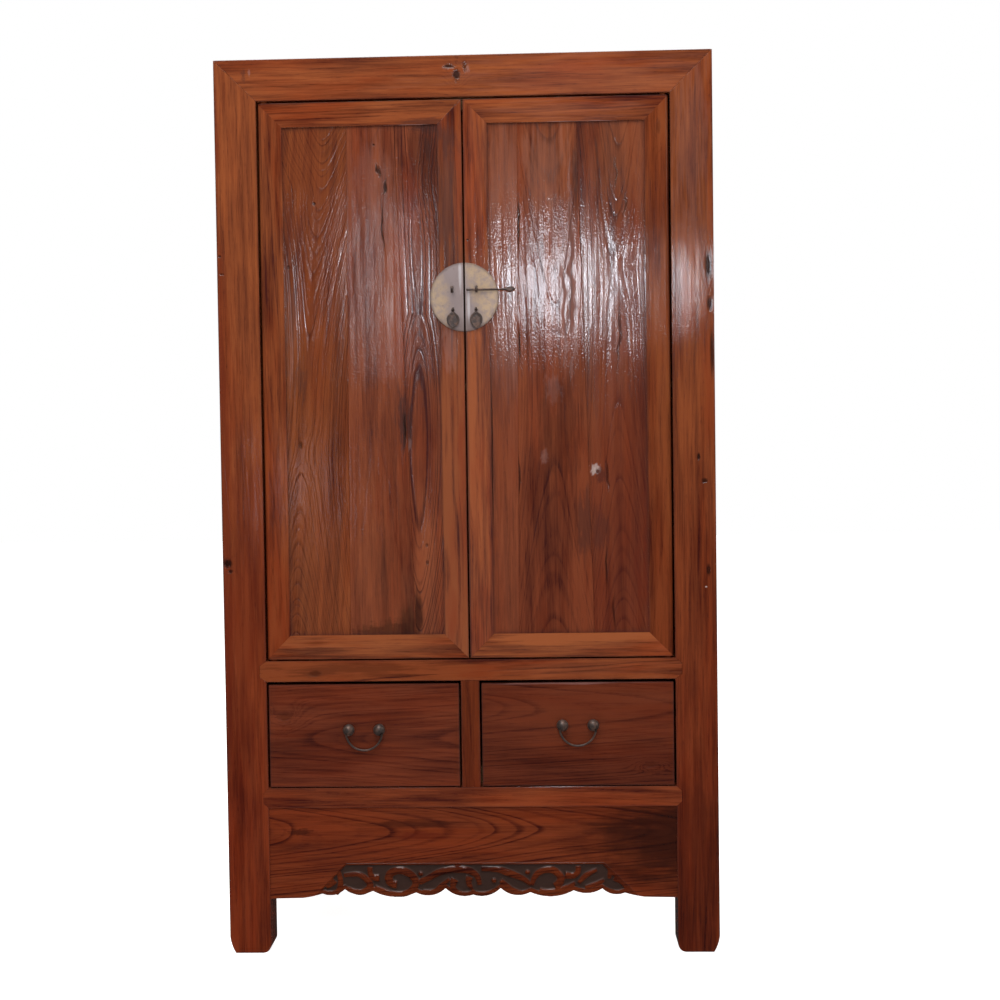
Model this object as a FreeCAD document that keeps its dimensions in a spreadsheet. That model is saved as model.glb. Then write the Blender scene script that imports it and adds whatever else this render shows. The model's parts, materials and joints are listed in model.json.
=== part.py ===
import FreeCAD, Part
import Sketcher
import os
import re

# A tall two-door cabinet over two drawers, in solid wood with brass and iron fittings.
# X runs to the viewer's right, the doors face -Y, Z is up from the floor.

os.makedirs("parts", exist_ok=True)

# Driving sizes, in millimetres
sizes = {
    # outside of the frame
    "width": 1030,
    "depth": 520,
    "height": 1870,
    # posts, rails and their places from the floor up
    "post_width": 87,
    "post_depth": 62,
    "top_rail_height": 86,
    "middle_rail_height": 44,
    "drawer_opening_height": 224.5,
    "lower_rail_height": 42,
    "apron_height": 193.5,
    "apron_clearance": 114,
    "rail_depth": 56,
    "side_rail_thickness": 40,
    # joints of the frame
    "tenon_length": 40,
    "tenon_thickness": 14,
    "tenon_shoulder": 8,
    "tenon_setback": 24,
    "side_tenon_setback": 22,
    "middle_rail_lap": 14,
    "lower_rail_lap": 11,
    "lap_depth": 8,
    "lap_slope": 10,
    "top_tenon_offset": 22,
    "top_tenon_width": 18,
    "top_tenon_stop": 14,
    # feet
    "foot_outer_run": 12,
    "foot_outer_rise": 34,
    "foot_inner_round": 18,
    # side and rear panels
    "panel_thickness": 12,
    "panel_inset": 6,
    "groove_depth": 10,
    # top panel and its battens
    "top_panel_thickness": 14,
    "top_panel_drop": 4,
    "top_batten_width": 48,
    "top_batten_height": 26,
    "top_batten_spread": 190,
    "batten_let": 3,
    # compartment floor, shelf and bearers
    "floor_thickness": 18,
    "rabbet_width": 14,
    "shelf_height": 1180,
    "shelf_thickness": 20,
    "bearer_width": 28,
    "bearer_height": 34,
    # divider between the drawers
    "divider_width": 39,
    "divider_depth": 48,
    "divider_tenon": 12,
    "divider_shoulder": 5,
    # runners and guides under the drawers
    "runner_width": 34,
    "runner_height": 26,
    "runner_tongue": 8,
    "guide_height": 34,
    # aprons
    "apron_thickness": 24,
    "side_apron_thickness": 18,
    "apron_inset": 3,
    "apron_tongue": 12,
    "apron_top_tongue": 7,
    "scallop_rise": 22,
    "carved_top": 72,
    "carved_rim": 9,
    "carved_depth": 3,
    # doors
    "door_inset": 1,
    "door_thickness": 28,
    "door_frame_width": 50,
    "door_gap": 3,
    "door_bottom_gap": 3.5,
    "door_top_gap": 5,
    "meeting_gap": 3.5,
    "door_mitre_depth": 9,
    "door_tenon_length": 36,
    "door_tenon_thickness": 8,
    "door_tenon_shoulder": 8,
    "door_tenon_step": 3,
    "door_panel_inset": 3,
    "door_panel_thickness": 10,
    "door_groove": 8,
    "door_batten_height": 34,
    "door_batten_setback": 1,
    "door_arris": 9,
    "stop_gap": 0.5,
    "stop_length": 130,
    "stop_width": 16,
    "stop_height": 20,
    # door pivots
    "pivot_inset": 11,
    "pivot_setback": 12,
    "pivot_radius": 7,
    "pivot_clearance": 0.3,
    "bottom_pivot_length": 9,
    "top_pivot_length": 15,
    # lock plates, staples, pin and drop pulls
    "plate_radius": 71,
    "plate_thickness": 1.6,
    "plate_height": 1372,
    "staple_offset": 25,
    "staple_height": 1388,
    "staple_radius": 5.5,
    "staple_wire": 1.6,
    "staple_standoff": 3,
    "staple_depth": 14,
    "pin_radius": 2.2,
    "pin_drop": 1.2,
    "pin_forward": 0.5,
    "pin_length": 80,
    "pin_rest": 2.5,
    "pin_head_length": 24,
    "pin_head_height": 11,
    "pin_head_thickness": 3,
    "drop_offset": 24,
    "drop_height": 1347,
    "drop_eye_radius": 2.7,
    "drop_eye_wire": 1.2,
    "drop_eye_standoff": 3.2,
    "drop_ring_radius": 3.2,
    "drop_ring_wire": 1,
    "drop_leaf_width": 27,
    "drop_leaf_length": 34,
    "drop_leaf_thickness": 2.6,
    # drawers
    "drawer_inset": 2,
    "drawer_gap": 4,
    "drawer_top_gap": 6,
    "drawer_bottom_gap": 2,
    "drawer_running_gap": 0.3,
    "drawer_play": 0.8,
    "drawer_front_thickness": 20,
    "drawer_side_thickness": 12,
    "drawer_lap": 9,
    "drawer_side_drop": 10,
    "drawer_rear_gap": 6,
    "drawer_bottom_thickness": 8,
    "drawer_bottom_height": 10,
    "drawer_groove": 5,
    # drawer handles
    "left_handle_height": 123,
    "right_handle_height": 129.5,
    "boss_spacing": 64,
    "boss_radius": 12.2,
    "boss_projection": 18,
    "stud_radius": 2.5,
    "stud_length": 30,
    "bail_width": 75,
    "bail_drop": 43,
    "bail_wire": 2.1,
    "bail_elbow": 2.5,
    "bail_clearance": 0.8,
    "bail_pin_radius": 1.5,
    "bail_pin_length": 8,
    "bail_pin_clearance": 0.2,
    # how far a cutting tool runs past the wood
    "overrun": 2,
}

bail_swing = 50  # degrees that a bail lifts before it meets the end of its slot

# Places and sizes that follow from the driving sizes
places = {
    "half_width": "width / 2",
    "opening": "half_width - post_width",
    "front": "(boss_projection - drawer_inset - depth) / 2",
    "rear": "front + depth",
    "door_top": "height - top_rail_height",
    "lower_bottom": "apron_clearance + apron_height",
    "lower_top": "lower_bottom + lower_rail_height",
    "middle_bottom": "lower_top + drawer_opening_height",
    "middle_top": "middle_bottom + middle_rail_height",
    "side_inner": "half_width - side_rail_thickness",
    "panel_outer": "half_width - panel_inset",
    "panel_inner": "panel_outer - panel_thickness",
    "side_front": "front + post_depth",
    "side_rear": "rear - post_depth",
    "top_panel_high": "height - top_panel_drop",
    "top_panel_low": "top_panel_high - top_panel_thickness",
    "floor_front": "front + door_inset + door_thickness + stop_gap",
    "floor_rear": "rear - rail_depth + rabbet_width",
    "floor_half": "side_inner + rabbet_width",
    "floor_low": "middle_top - floor_thickness",
    "shelf_top": "shelf_height + shelf_thickness",
    "bearer_inner": "panel_inner - bearer_width",
    "divider_half": "divider_width / 2",
    "runner_low": "lower_top - runner_height",
    "door_front": "front + door_inset",
    "door_back": "door_front + door_thickness",
    "door_low": "middle_top + door_bottom_gap",
    "door_high": "door_top - door_top_gap",
    "meeting": "meeting_gap / 2",
    "meeting_inner": "meeting + door_frame_width",
    "hinge_edge": "opening - door_gap",
    "hinge_inner": "hinge_edge - door_frame_width",
    "door_panel_front": "door_front + door_panel_inset",
    "door_panel_back": "door_panel_front + door_panel_thickness",
    "door_panel_low": "door_low + door_frame_width - door_groove",
    "door_panel_high": "door_high - door_frame_width + door_groove",
    "door_tenon_front": "door_front + door_mitre_depth + door_tenon_step",
    "pivot_x": "hinge_edge - pivot_inset",
    "pivot_y": "door_front + pivot_setback",
    "plate_front": "door_front - plate_thickness",
    "staple_y": "plate_front - staple_standoff",
    "pin_y": "staple_y - pin_forward",
    "pin_z": "staple_height - pin_drop",
    "pin_start": "meeting + pin_rest",
    "drop_y": "plate_front - drop_eye_standoff",
    "leaf_top": "drop_height - drop_ring_radius * 2",
    "drawer_front": "front + drawer_inset",
    "drawer_front_back": "drawer_front + drawer_front_thickness",
    "drawer_rear": "rear - panel_inset - panel_thickness - drawer_rear_gap",
    "drawer_inner": "divider_half + drawer_gap",
    "drawer_outer": "opening - drawer_gap",
    "drawer_middle": "(drawer_inner + drawer_outer) / 2",
    "drawer_low": "lower_top + drawer_bottom_gap",
    "drawer_high": "middle_bottom - drawer_top_gap",
    "drawer_side_low": "lower_top + drawer_running_gap",
    "drawer_side_high": "drawer_high - drawer_side_drop",
    "drawer_base": "lower_top + drawer_bottom_height",
    "drawer_base_top": "drawer_base + drawer_bottom_thickness",
    "boss_y": "drawer_front - boss_projection + boss_radius",
    "bail_half": "bail_width / 2",
    "bail_radius": "(bail_half ^ 2 + bail_drop ^ 2) / (2 * bail_drop)",
    "slot_half": "bail_wire + bail_clearance",
}

doc = FreeCAD.newDocument("cabinet")
sheet = doc.addObject("Spreadsheet::Sheet", "sizes")
for row, (alias, value) in enumerate(sizes.items(), start=1):
    sheet.set(f"A{row}", alias)
    sheet.set(f"B{row}", str(value))
    sheet.setAlias(f"B{row}", alias)
doc.recompute()


def formula(text):
    # plain words become cells of the sheet, or the sums that they stand for
    def swap(found):
        word = found.group(0)
        if word in places:
            return "(" + formula(places[word]) + ")"
        return f"sizes.{word}" if word in sizes else word

    return re.sub(r"[a-z][a-z_]*", swap, text)


def tie(thing, prop, text):
    thing.setExpression(prop, formula(text))


def number(text):
    return float(sheet.evalExpression(formula(text)))


nodes = []


def new_body(label, node=True):
    made = doc.addObject("PartDesign::Body", label)
    made.Label = label
    if node:
        nodes.append(made)
    return made


def new_group(label, members):
    made = doc.addObject("Part::Compound", label)
    made.Label = label
    made.Links = members
    nodes.append(made)
    return made


# Spans and points that a mirrored or rear piece takes from the same words
def wide(side, low, high):
    return (low, high) if side > 0 else (f"-({high})", f"-({low})")


def deep(end, low, high):
    if end > 0:
        return (f"front + {low}", f"front + {high}")
    return (f"rear - ({high})", f"rear - ({low})")


def across(side, text):
    return text if side > 0 else f"-({text})"


def inward(end, text):
    return f"front + {text}" if end > 0 else f"rear - ({text})"


turns = {
    "x": FreeCAD.Rotation(FreeCAD.Vector(0, 1, 0), 90),
    "y": FreeCAD.Rotation(FreeCAD.Vector(1, 0, 0), -90),
    "z": FreeCAD.Rotation(),
}


def place(thing, axis, point):
    thing.Placement = FreeCAD.Placement(FreeCAD.Vector(), turns[axis])
    for letter, text in zip("xyz", point):
        tie(thing, f"Placement.Base.{letter}", text)


def box(owner, name, x, y, z, cut=False):
    kind = "PartDesign::SubtractiveBox" if cut else "PartDesign::AdditiveBox"
    made = owner.newObject(kind, name)
    for prop, (low, high) in (("Length", x), ("Width", y), ("Height", z)):
        tie(made, prop, f"({high}) - ({low})")
    place(made, "z", (x[0], y[0], z[0]))
    return made


def rod(owner, name, radius, axis, point, length, cut=False):
    kind = "PartDesign::SubtractiveCylinder" if cut else "PartDesign::AdditiveCylinder"
    made = owner.newObject(kind, name)
    tie(made, "Radius", radius)
    tie(made, "Height", length)
    place(made, axis, point)
    return made


def ring(owner, name, radius, wire, axis, point):
    made = owner.newObject("PartDesign::AdditiveTorus", name)
    tie(made, "Radius1", radius)
    tie(made, "Radius2", wire)
    place(made, axis, point)
    return made


def ball(owner, name, radius, point):
    made = owner.newObject("PartDesign::AdditiveSphere", name)
    tie(made, "Radius", radius)
    place(made, "z", point)
    return made


planes = {"xz": "XZ_Plane", "yz": "YZ_Plane", "xy": "XY_Plane"}


def outline(owner, name, plane, points, offset):
    # each point is (right, up) or (right, up, bulge): a bulged edge to the next point is an arc
    sketch = owner.newObject("Sketcher::SketchObject", name)
    origin = [one for one in owner.Origin.OriginFeatures if one.Role == planes[plane]][0]
    sketch.AttachmentSupport = [(origin, "")]
    sketch.MapMode = "FlatFace"
    tie(sketch, "AttachmentOffset.Base.z", offset)
    spots = [FreeCAD.Vector(number(point[0]), number(point[1]), 0) for point in points]
    starts = []
    for index, point in enumerate(points):
        a, b = spots[index], spots[(index + 1) % len(spots)]
        if len(point) == 2:
            sketch.addGeometry(Part.LineSegment(a, b), False)
            starts.append(1)
            continue
        along = b - a
        left = FreeCAD.Vector(-along.y, along.x, 0).normalize()
        bulge = number(point[2])
        crown = (a + b) * 0.5 - left * bulge
        # an arc of a sketch runs anticlockwise, so one that turns the other way starts at b
        sketch.addGeometry(Part.Arc(a, crown, b) if bulge > 0 else Part.Arc(b, crown, a), False)
        starts.append(1 if bulge > 0 else 2)
    for index, point in enumerate(points):
        after = (index + 1) % len(points)
        sketch.addConstraint(
            Sketcher.Constraint("Coincident", index, 3 - starts[index], after, starts[after])
        )
        for kind, text, value in (
            ("DistanceX", point[0], spots[index].x),
            ("DistanceY", point[1], spots[index].y),
        ):
            made = sketch.addConstraint(
                Sketcher.Constraint(kind, -1, 1, index, starts[index], value)
            )
            tie(sketch, f"Constraints[{made}]", text)
        if len(point) == 3:
            dx = f"(({points[after][0]}) - ({point[0]}))"
            dy = f"(({points[after][1]}) - ({point[1]}))"
            bulge = f"({point[2]})"
            text = f"({dx} ^ 2 + {dy} ^ 2 + 4 * {bulge} ^ 2) / (8 * abs({bulge}))"
            made = sketch.addConstraint(Sketcher.Constraint("Radius", index, number(text)))
            tie(sketch, f"Constraints[{made}]", text)
    return sketch


def prism(owner, name, plane, points, span, cut=False):
    # an outline made solid between the two ends of the span, square to its plane
    low, high = span
    offset = f"-({high})" if plane == "xz" else low
    sketch = outline(owner, f"{name}_outline", plane, points, offset)
    made = owner.newObject("PartDesign::Pocket" if cut else "PartDesign::Pad", name)
    made.Profile = sketch
    tie(made, "Length", f"({high}) - ({low})")
    made.Reversed = cut
    return made


sides = (("left", -1), ("right", 1))
ends = (("front", 1), ("rear", -1))
quarter_bulge_share = 0.2929  # rise of a quarter circle over its chord, of its radius
foot_bulge_share = 0.17  # of the run of the foot's outer wear
levels = {"lower": ("lower_bottom", "lower_top"), "middle": ("middle_bottom", "middle_top")}
panel_levels = {
    "lower": ("lower_top - groove_depth", "middle_bottom + groove_depth"),
    "upper": ("middle_top - groove_depth", "door_top + groove_depth"),
}


def lap_points(side, level):
    low, high = levels[level]
    lap = f"opening + {level}_rail_lap"
    return [
        (across(side, "opening"), low),
        (across(side, "opening"), high),
        (across(side, lap), f"{high} - lap_slope"),
        (across(side, lap), f"{low} + lap_slope"),
    ]


def tenon_spans(side, end, level):
    low, high = levels[level]
    return (
        wide(side, "opening", "opening + tenon_length"),
        deep(end, "tenon_setback", "tenon_setback + tenon_thickness"),
        (f"{low} + tenon_shoulder", f"{high} - tenon_shoulder"),
    )


def side_tenon_spans(side, end, level):
    low, high = levels[level]
    outer = "half_width - side_tenon_setback"
    return (
        wide(side, f"{outer} - tenon_thickness", outer),
        deep(end, "post_depth - tenon_length", "post_depth"),
        (f"{low} + tenon_shoulder", f"{high} - tenon_shoulder"),
    )


def top_tenon_spans(side, end):
    outer = "half_width - top_tenon_offset"
    return (
        wide(side, f"{outer} - top_tenon_width", outer),
        deep(end, "top_tenon_offset", "top_tenon_offset + top_tenon_width"),
        ("door_top", "height - top_tenon_stop"),
    )


def rear_panel_depth():
    return deep(-1, "panel_inset", "panel_inset + panel_thickness")


def add_post(side_name, side, end_name, end):
    post = new_body(f"{end_name}_{side_name}_post")
    whole_width = wide(side, "opening", "half_width")
    whole_depth = deep(end, "0", "post_depth")
    box(post, "stock", whole_width, whole_depth, ("0", "height"))
    # three members meet at each top corner in a mitre on every face
    facing = [
        (across(side, "half_width"), "height"),
        (across(side, "opening"), "height"),
        (across(side, "opening"), "door_top"),
    ]
    prism(post, "front_mitre", "xz", facing, whole_depth, cut=True)
    flank = [
        (inward(end, "0"), "height"),
        (inward(end, "post_depth"), "height"),
        (inward(end, "post_depth"), "door_top"),
    ]
    prism(post, "side_mitre", "yz", flank, whole_width, cut=True)
    box(post, "top_tenon", *top_tenon_spans(side, end))
    for level in levels:
        box(post, f"{level}_mortise", *tenon_spans(side, end, level), cut=True)
        box(post, f"{level}_side_mortise", *side_tenon_spans(side, end, level), cut=True)
        if end > 0:
            points = lap_points(side, level)
            prism(post, f"{level}_lap", "xz", points, deep(end, "0", "lap_depth"), cut=True)
    for level, span in panel_levels.items():
        flank_width = wide(side, "panel_inner", "panel_outer")
        flank_depth = deep(end, "post_depth - groove_depth", "post_depth")
        box(post, f"{level}_side_groove", flank_width, flank_depth, span, cut=True)
        if end < 0:
            groove_width = wide(side, "opening", "opening + groove_depth")
            box(post, f"{level}_rear_groove", groove_width, rear_panel_depth(), span, cut=True)
    apron_span = ("apron_clearance", "lower_bottom")
    if end > 0:
        slot_width = wide(side, "opening", "opening + apron_tongue")
        slot_depth = deep(end, "apron_inset", "apron_inset + apron_thickness")
        box(post, "apron_slot", slot_width, slot_depth, apron_span, cut=True)
    outer = "half_width - apron_inset"
    slot_width = wide(side, f"{outer} - side_apron_thickness", outer)
    slot_depth = deep(end, "post_depth - apron_tongue", "post_depth")
    box(post, "side_apron_slot", slot_width, slot_depth, apron_span, cut=True)
    bearer_depth = deep(end, "post_depth - groove_depth", "post_depth")
    bearer_span = ("shelf_height - bearer_height", "shelf_height")
    bearer_wide = wide(side, "bearer_inner", "panel_inner")
    box(post, "bearer_slot", bearer_wide, bearer_depth, bearer_span, cut=True)
    # the feet are worn round at their inner and outer corners
    bulge = across(-side, f"foot_outer_run * {foot_bulge_share}")
    worn = [
        (across(side, "half_width"), "0"),
        (across(side, "half_width"), "foot_outer_rise", bulge),
        (across(side, "half_width - foot_outer_run"), "0"),
    ]
    prism(post, "outer_wear", "xz", worn, whole_depth, cut=True)
    bulge = f"foot_inner_round * {quarter_bulge_share}"
    worn = [
        (across(side, "opening"), "0"),
        (across(side, "opening"), "foot_inner_round", across(side, bulge)),
        (across(side, "opening + foot_inner_round"), "0"),
    ]
    prism(post, "inner_wear", "xz", worn, whole_depth, cut=True)


def top_mitres(rail, side, end, long_across):
    # the end of a top rail, cut on the two faces where it meets the post and the next rail
    if long_across:
        facing = [
            (across(side, "half_width"), "height"),
            (across(side, "half_width"), "door_top"),
            (across(side, "opening"), "door_top"),
        ]
        prism(rail, "post_mitre", "xz", facing, deep(end, "0", "post_depth"), cut=True)
        plan = [
            (across(side, "half_width"), inward(end, "0")),
            (across(side, "half_width"), inward(end, "post_depth")),
            (across(side, "opening"), inward(end, "post_depth")),
        ]
    else:
        flank = [
            (inward(end, "0"), "height"),
            (inward(end, "0"), "door_top"),
            (inward(end, "post_depth"), "door_top"),
        ]
        prism(rail, "post_mitre", "yz", flank, wide(side, "opening", "half_width"), cut=True)
        plan = [
            (across(side, "half_width"), inward(end, "0")),
            (across(side, "opening"), inward(end, "0")),
            (across(side, "opening"), inward(end, "post_depth")),
        ]
    prism(rail, "rail_mitre", "xy", plan, ("door_top", "height"), cut=True)
    box(rail, "top_mortise", *top_tenon_spans(side, end), cut=True)


top_panel_width = ("-(opening + groove_depth)", "opening + groove_depth")
top_panel_depth = ("side_front - groove_depth", "side_rear + groove_depth")
top_panel_span = ("top_panel_low", "top_panel_high")


def add_cross_top_rail(end_name, end):
    rail = new_body(f"{end_name}_top_rail")
    box(rail, "stock", ("-half_width", "half_width"), deep(end, "0", "post_depth"), ("door_top", "height"))
    for side_name, side in sides:
        top_mitres(rail, side, end, True)
    groove = deep(end, "post_depth - groove_depth", "post_depth")
    box(rail, "panel_groove", top_panel_width, groove, top_panel_span, cut=True)
    if end < 0:
        span = ("door_top", "door_top + groove_depth")
        box(rail, "rear_groove", top_panel_width, rear_panel_depth(), span, cut=True)
        return
    for side_name, side in sides:
        point = (across(side, "pivot_x"), "pivot_y", "door_top")
        radius = "pivot_radius + pivot_clearance"
        depth = "top_pivot_length + pivot_clearance"
        rod(rail, f"{side_name}_socket", radius, "z", point, depth, cut=True)


def add_side_top_rail(side_name, side):
    rail = new_body(f"{side_name}_top_rail")
    box(rail, "stock", wide(side, "opening", "half_width"), ("front", "rear"), ("door_top", "height"))
    for end_name, end in ends:
        top_mitres(rail, side, end, False)
    groove = wide(side, "opening", "opening + groove_depth")
    box(rail, "panel_groove", groove, top_panel_depth, top_panel_span, cut=True)
    span = ("door_top", "door_top + groove_depth")
    box(rail, "side_groove", wide(side, "panel_inner", "panel_outer"), top_panel_depth, span, cut=True)


def add_cross_rail(end_name, end, level):
    low, high = levels[level]
    rail = new_body(f"{end_name}_{level}_rail")
    across_all = ("-opening", "opening")
    box(rail, "stock", across_all, deep(end, "0", "rail_depth"), (low, high))
    for side_name, side in sides:
        box(rail, f"{side_name}_tenon", *tenon_spans(side, end, level))
        if end > 0:
            points = lap_points(side, level)
            prism(rail, f"{side_name}_lap", "xz", points, deep(end, "0", "lap_depth"))
    if level == "middle":
        rabbet = ("floor_front", "front + rail_depth") if end > 0 else ("rear - rail_depth", "floor_rear")
        box(rail, "floor_rabbet", across_all, rabbet, ("floor_low", "middle_top"), cut=True)
    if end < 0:
        box(rail, "upper_groove", across_all, rear_panel_depth(), (f"{high} - groove_depth", high), cut=True)
        if level == "middle":
            span = (low, f"{low} + groove_depth")
            box(rail, "lower_groove", across_all, rear_panel_depth(), span, cut=True)
    if end > 0:
        span = (low, f"{low} + divider_tenon") if level == "middle" else (f"{high} - divider_tenon", high)
        box(rail, "divider_mortise", divider_tenon_width, divider_tenon_depth, span, cut=True)
    if end > 0 and level == "middle":
        for side_name, side in sides:
            depth = "bottom_pivot_length - door_bottom_gap + pivot_clearance"
            point = (across(side, "pivot_x"), "pivot_y", f"middle_top - ({depth})")
            radius = "pivot_radius + pivot_clearance"
            rod(rail, f"{side_name}_socket", radius, "z", point, depth, cut=True)
    if end > 0 and level == "lower":
        tongue = deep(end, "apron_inset", "apron_inset + apron_thickness")
        span = (low, f"{low} + apron_top_tongue")
        box(rail, "apron_groove", across_all, tongue, span, cut=True)
    if level == "lower":
        seat = deep(end, "rail_depth - runner_tongue", "rail_depth")
        span = ("runner_low", "lower_top")
        box(rail, "middle_seat", middle_runner_width, seat, span, cut=True)
        for side_name, side in sides:
            seat_width = wide(side, "opening - runner_width", "opening")
            box(rail, f"{side_name}_seat", seat_width, seat, span, cut=True)


divider_tenon_width = ("-divider_half + divider_shoulder", "divider_half - divider_shoulder")
divider_tenon_depth = deep(1, "divider_depth / 2", "divider_depth / 2 + tenon_thickness")
middle_runner_width = ("-(divider_half + runner_width)", "divider_half + runner_width")


def add_side_rail(side_name, side, level):
    low, high = levels[level]
    rail = new_body(f"{side_name}_{level}_rail")
    between = ("side_front", "side_rear")
    box(rail, "stock", wide(side, "side_inner", "half_width"), between, (low, high))
    for end_name, end in ends:
        box(rail, f"{end_name}_tenon", *side_tenon_spans(side, end, level))
    flank = wide(side, "panel_inner", "panel_outer")
    box(rail, "upper_groove", flank, between, (f"{high} - groove_depth", high), cut=True)
    if level == "middle":
        box(rail, "lower_groove", flank, between, (low, f"{low} + groove_depth"), cut=True)
        rabbet = wide(side, "side_inner", "floor_half")
        box(rail, "floor_rabbet", rabbet, between, ("floor_low", "middle_top"), cut=True)


def add_panels():
    for side_name, side in sides:
        for level, span in panel_levels.items():
            panel = new_body(f"{side_name}_{level}_panel")
            box(panel, "board", wide(side, "panel_inner", "panel_outer"), top_panel_depth, span)
    for level, span in panel_levels.items():
        panel = new_body(f"rear_{level}_panel")
        box(panel, "board", top_panel_width, rear_panel_depth(), span)


def top_batten_spans(side):
    middle = across(side, "top_batten_spread")
    return (
        (f"{middle} - top_batten_width / 2", f"{middle} + top_batten_width / 2"),
        ("side_front", "side_rear"),
        ("top_panel_low + batten_let - top_batten_height", "top_panel_low + batten_let"),
    )


def add_top_panel():
    panel = new_body("top_panel")
    box(panel, "board", top_panel_width, top_panel_depth, top_panel_span)
    battens = new_body("top_panel_battens")
    for side_name, side in sides:
        x, y, z = top_batten_spans(side)
        box(panel, f"{side_name}_slot", x, y, ("top_panel_low", "top_panel_low + batten_let"), cut=True)
        box(battens, f"{side_name}_batten", x, y, z)


def add_floor_and_shelf():
    floor = new_body("compartment_floor")
    span = ("floor_low", "middle_top")
    box(floor, "board", ("-floor_half", "floor_half"), ("floor_front", "floor_rear"), span)
    for side_name, side in sides:
        notch = wide(side, "opening", "floor_half")
        box(floor, f"front_{side_name}_notch", notch, ("floor_front", "side_front"), span, cut=True)
        box(floor, f"rear_{side_name}_notch", notch, ("side_rear", "floor_rear"), span, cut=True)
    shelf = new_body("shelf")
    shelf_width = ("-panel_inner", "panel_inner")
    box(shelf, "board", shelf_width, ("side_front", "side_rear"), ("shelf_height", "shelf_top"))
    bearers = new_body("shelf_bearers")
    for side_name, side in sides:
        along = ("side_front - groove_depth", "side_rear + groove_depth")
        span = ("shelf_height - bearer_height", "shelf_height")
        box(bearers, f"{side_name}_bearer", wide(side, "bearer_inner", "panel_inner"), along, span)


def add_door_stop():
    stop = new_body("door_stop")
    x = ("-stop_length / 2", "stop_length / 2")
    y = ("door_back + stop_gap", "door_back + stop_gap + stop_width")
    box(stop, "block", x, y, ("door_top - stop_height", "door_top"))


def add_divider():
    divider = new_body("drawer_divider")
    x = ("-divider_half", "divider_half")
    box(divider, "stock", x, deep(1, "0", "divider_depth"), ("lower_top", "middle_bottom"))
    for name, span in (
        ("lower_tenon", ("lower_top - divider_tenon", "lower_top")),
        ("upper_tenon", ("middle_bottom", "middle_bottom + divider_tenon")),
    ):
        box(divider, name, divider_tenon_width, divider_tenon_depth, span)


def add_runners():
    runners = new_body("drawer_runners")
    along = ("front + rail_depth - runner_tongue", "rear - rail_depth + runner_tongue")
    guide_span = ("lower_top", "lower_top + guide_height")
    box(runners, "middle_runner", middle_runner_width, along, ("runner_low", "lower_top"))
    reach = "divider_half + drawer_gap - drawer_play"
    between = ("front + rail_depth", "rear - rail_depth")
    box(runners, "middle_guide", (f"-({reach})", reach), between, guide_span)
    for side_name, side in sides:
        seat_width = wide(side, "opening - runner_width", "opening")
        box(runners, f"{side_name}_runner", seat_width, along, ("runner_low", "lower_top"))
        between = ("side_front", "side_rear")
        filler = wide(side, "opening", "side_inner")
        box(runners, f"{side_name}_filler", filler, between, ("runner_low", "lower_top"))
        guide = wide(side, "drawer_outer + drawer_play", "side_inner")
        box(runners, f"{side_name}_guide", guide, between, guide_span)


# Lower edge of the front apron from its centre to the post: how far out, how high above
# the straight part, and how far the edge to the next point hangs below its chord
scallop_shares = [
    (0.0, 0.33, 0.40),
    (0.1355, 0.97, 0.48),
    (0.2804, 0.56, 0.50),
    (0.4930, 0.72, 0.36),
    (0.6332, 0.89, 0.34),
    (0.7430, 0.48, 0.05),
    (0.8411, 0.07, 0),
]
carved_top_share = 0.6332  # half length of the bead over the carving, of half the opening


def scallop_point(out_share, rise_share, lift="0"):
    rise = f"apron_clearance + scallop_rise * {rise_share} + {lift}"
    return f"opening * {out_share}", rise


def scalloped_edge(lift="0", count=len(scallop_shares)):
    # points from the left end to the right end; a lobe hangs to the right of that direction
    points = []
    for index in range(count - 1, 0, -1):
        out_share, rise_share, _ = scallop_shares[index]
        hang_share = scallop_shares[index - 1][2]
        x, z = scallop_point(out_share, rise_share, lift)
        points.append((f"-({x})", z, f"scallop_rise * {hang_share}"))
    for index in range(count):
        out_share, rise_share, hang_share = scallop_shares[index]
        x, z = scallop_point(out_share, rise_share, lift)
        if hang_share and index < count - 1:
            points.append((x, z, f"scallop_rise * {hang_share}"))
        else:
            points.append((x, z))
    return points


def add_aprons():
    apron = new_body("front_apron")
    end = "opening + apron_tongue"
    top = "lower_bottom + apron_top_tongue"
    points = [(f"-({end})", "apron_clearance")] + scalloped_edge()
    points += [(end, "apron_clearance"), (end, "lower_bottom"), ("opening", "lower_bottom")]
    points += [("opening", top), ("-opening", top)]
    points += [("-opening", "lower_bottom"), (f"-({end})", "lower_bottom")]
    thickness = deep(1, "apron_inset", "apron_inset + apron_thickness")
    prism(apron, "board", "xz", points, thickness)
    # the carved band is sunk between a straight bead above and the scalloped rim below
    ground = scalloped_edge("carved_rim", len(scallop_shares) - 1)
    bead = "apron_clearance + carved_top"
    reach = f"opening * {carved_top_share}"
    ground += [(reach, bead), (f"-({reach})", bead)]
    sunk = deep(1, "apron_inset", "apron_inset + carved_depth")
    prism(apron, "carved_ground", "xz", ground, sunk, cut=True)
    for side_name, side in sides:
        flank = new_body(f"{side_name}_apron")
        outer = "half_width - apron_inset"
        x = wide(side, f"{outer} - side_apron_thickness", outer)
        y = ("side_front - apron_tongue", "side_rear + apron_tongue")
        box(flank, "board", x, y, ("apron_clearance", "lower_bottom"))


door_batten_shares = (0.18, 0.5, 0.82)  # of the door's height


def door_batten_spans():
    spans = []
    for share in door_batten_shares:
        middle = f"door_low + (door_high - door_low) * {share}"
        spans.append((f"{middle} - door_batten_height / 2", f"{middle} + door_batten_height / 2"))
    return spans


door_batten_depth = ("door_panel_back - batten_let", "door_back - door_batten_setback")


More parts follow.
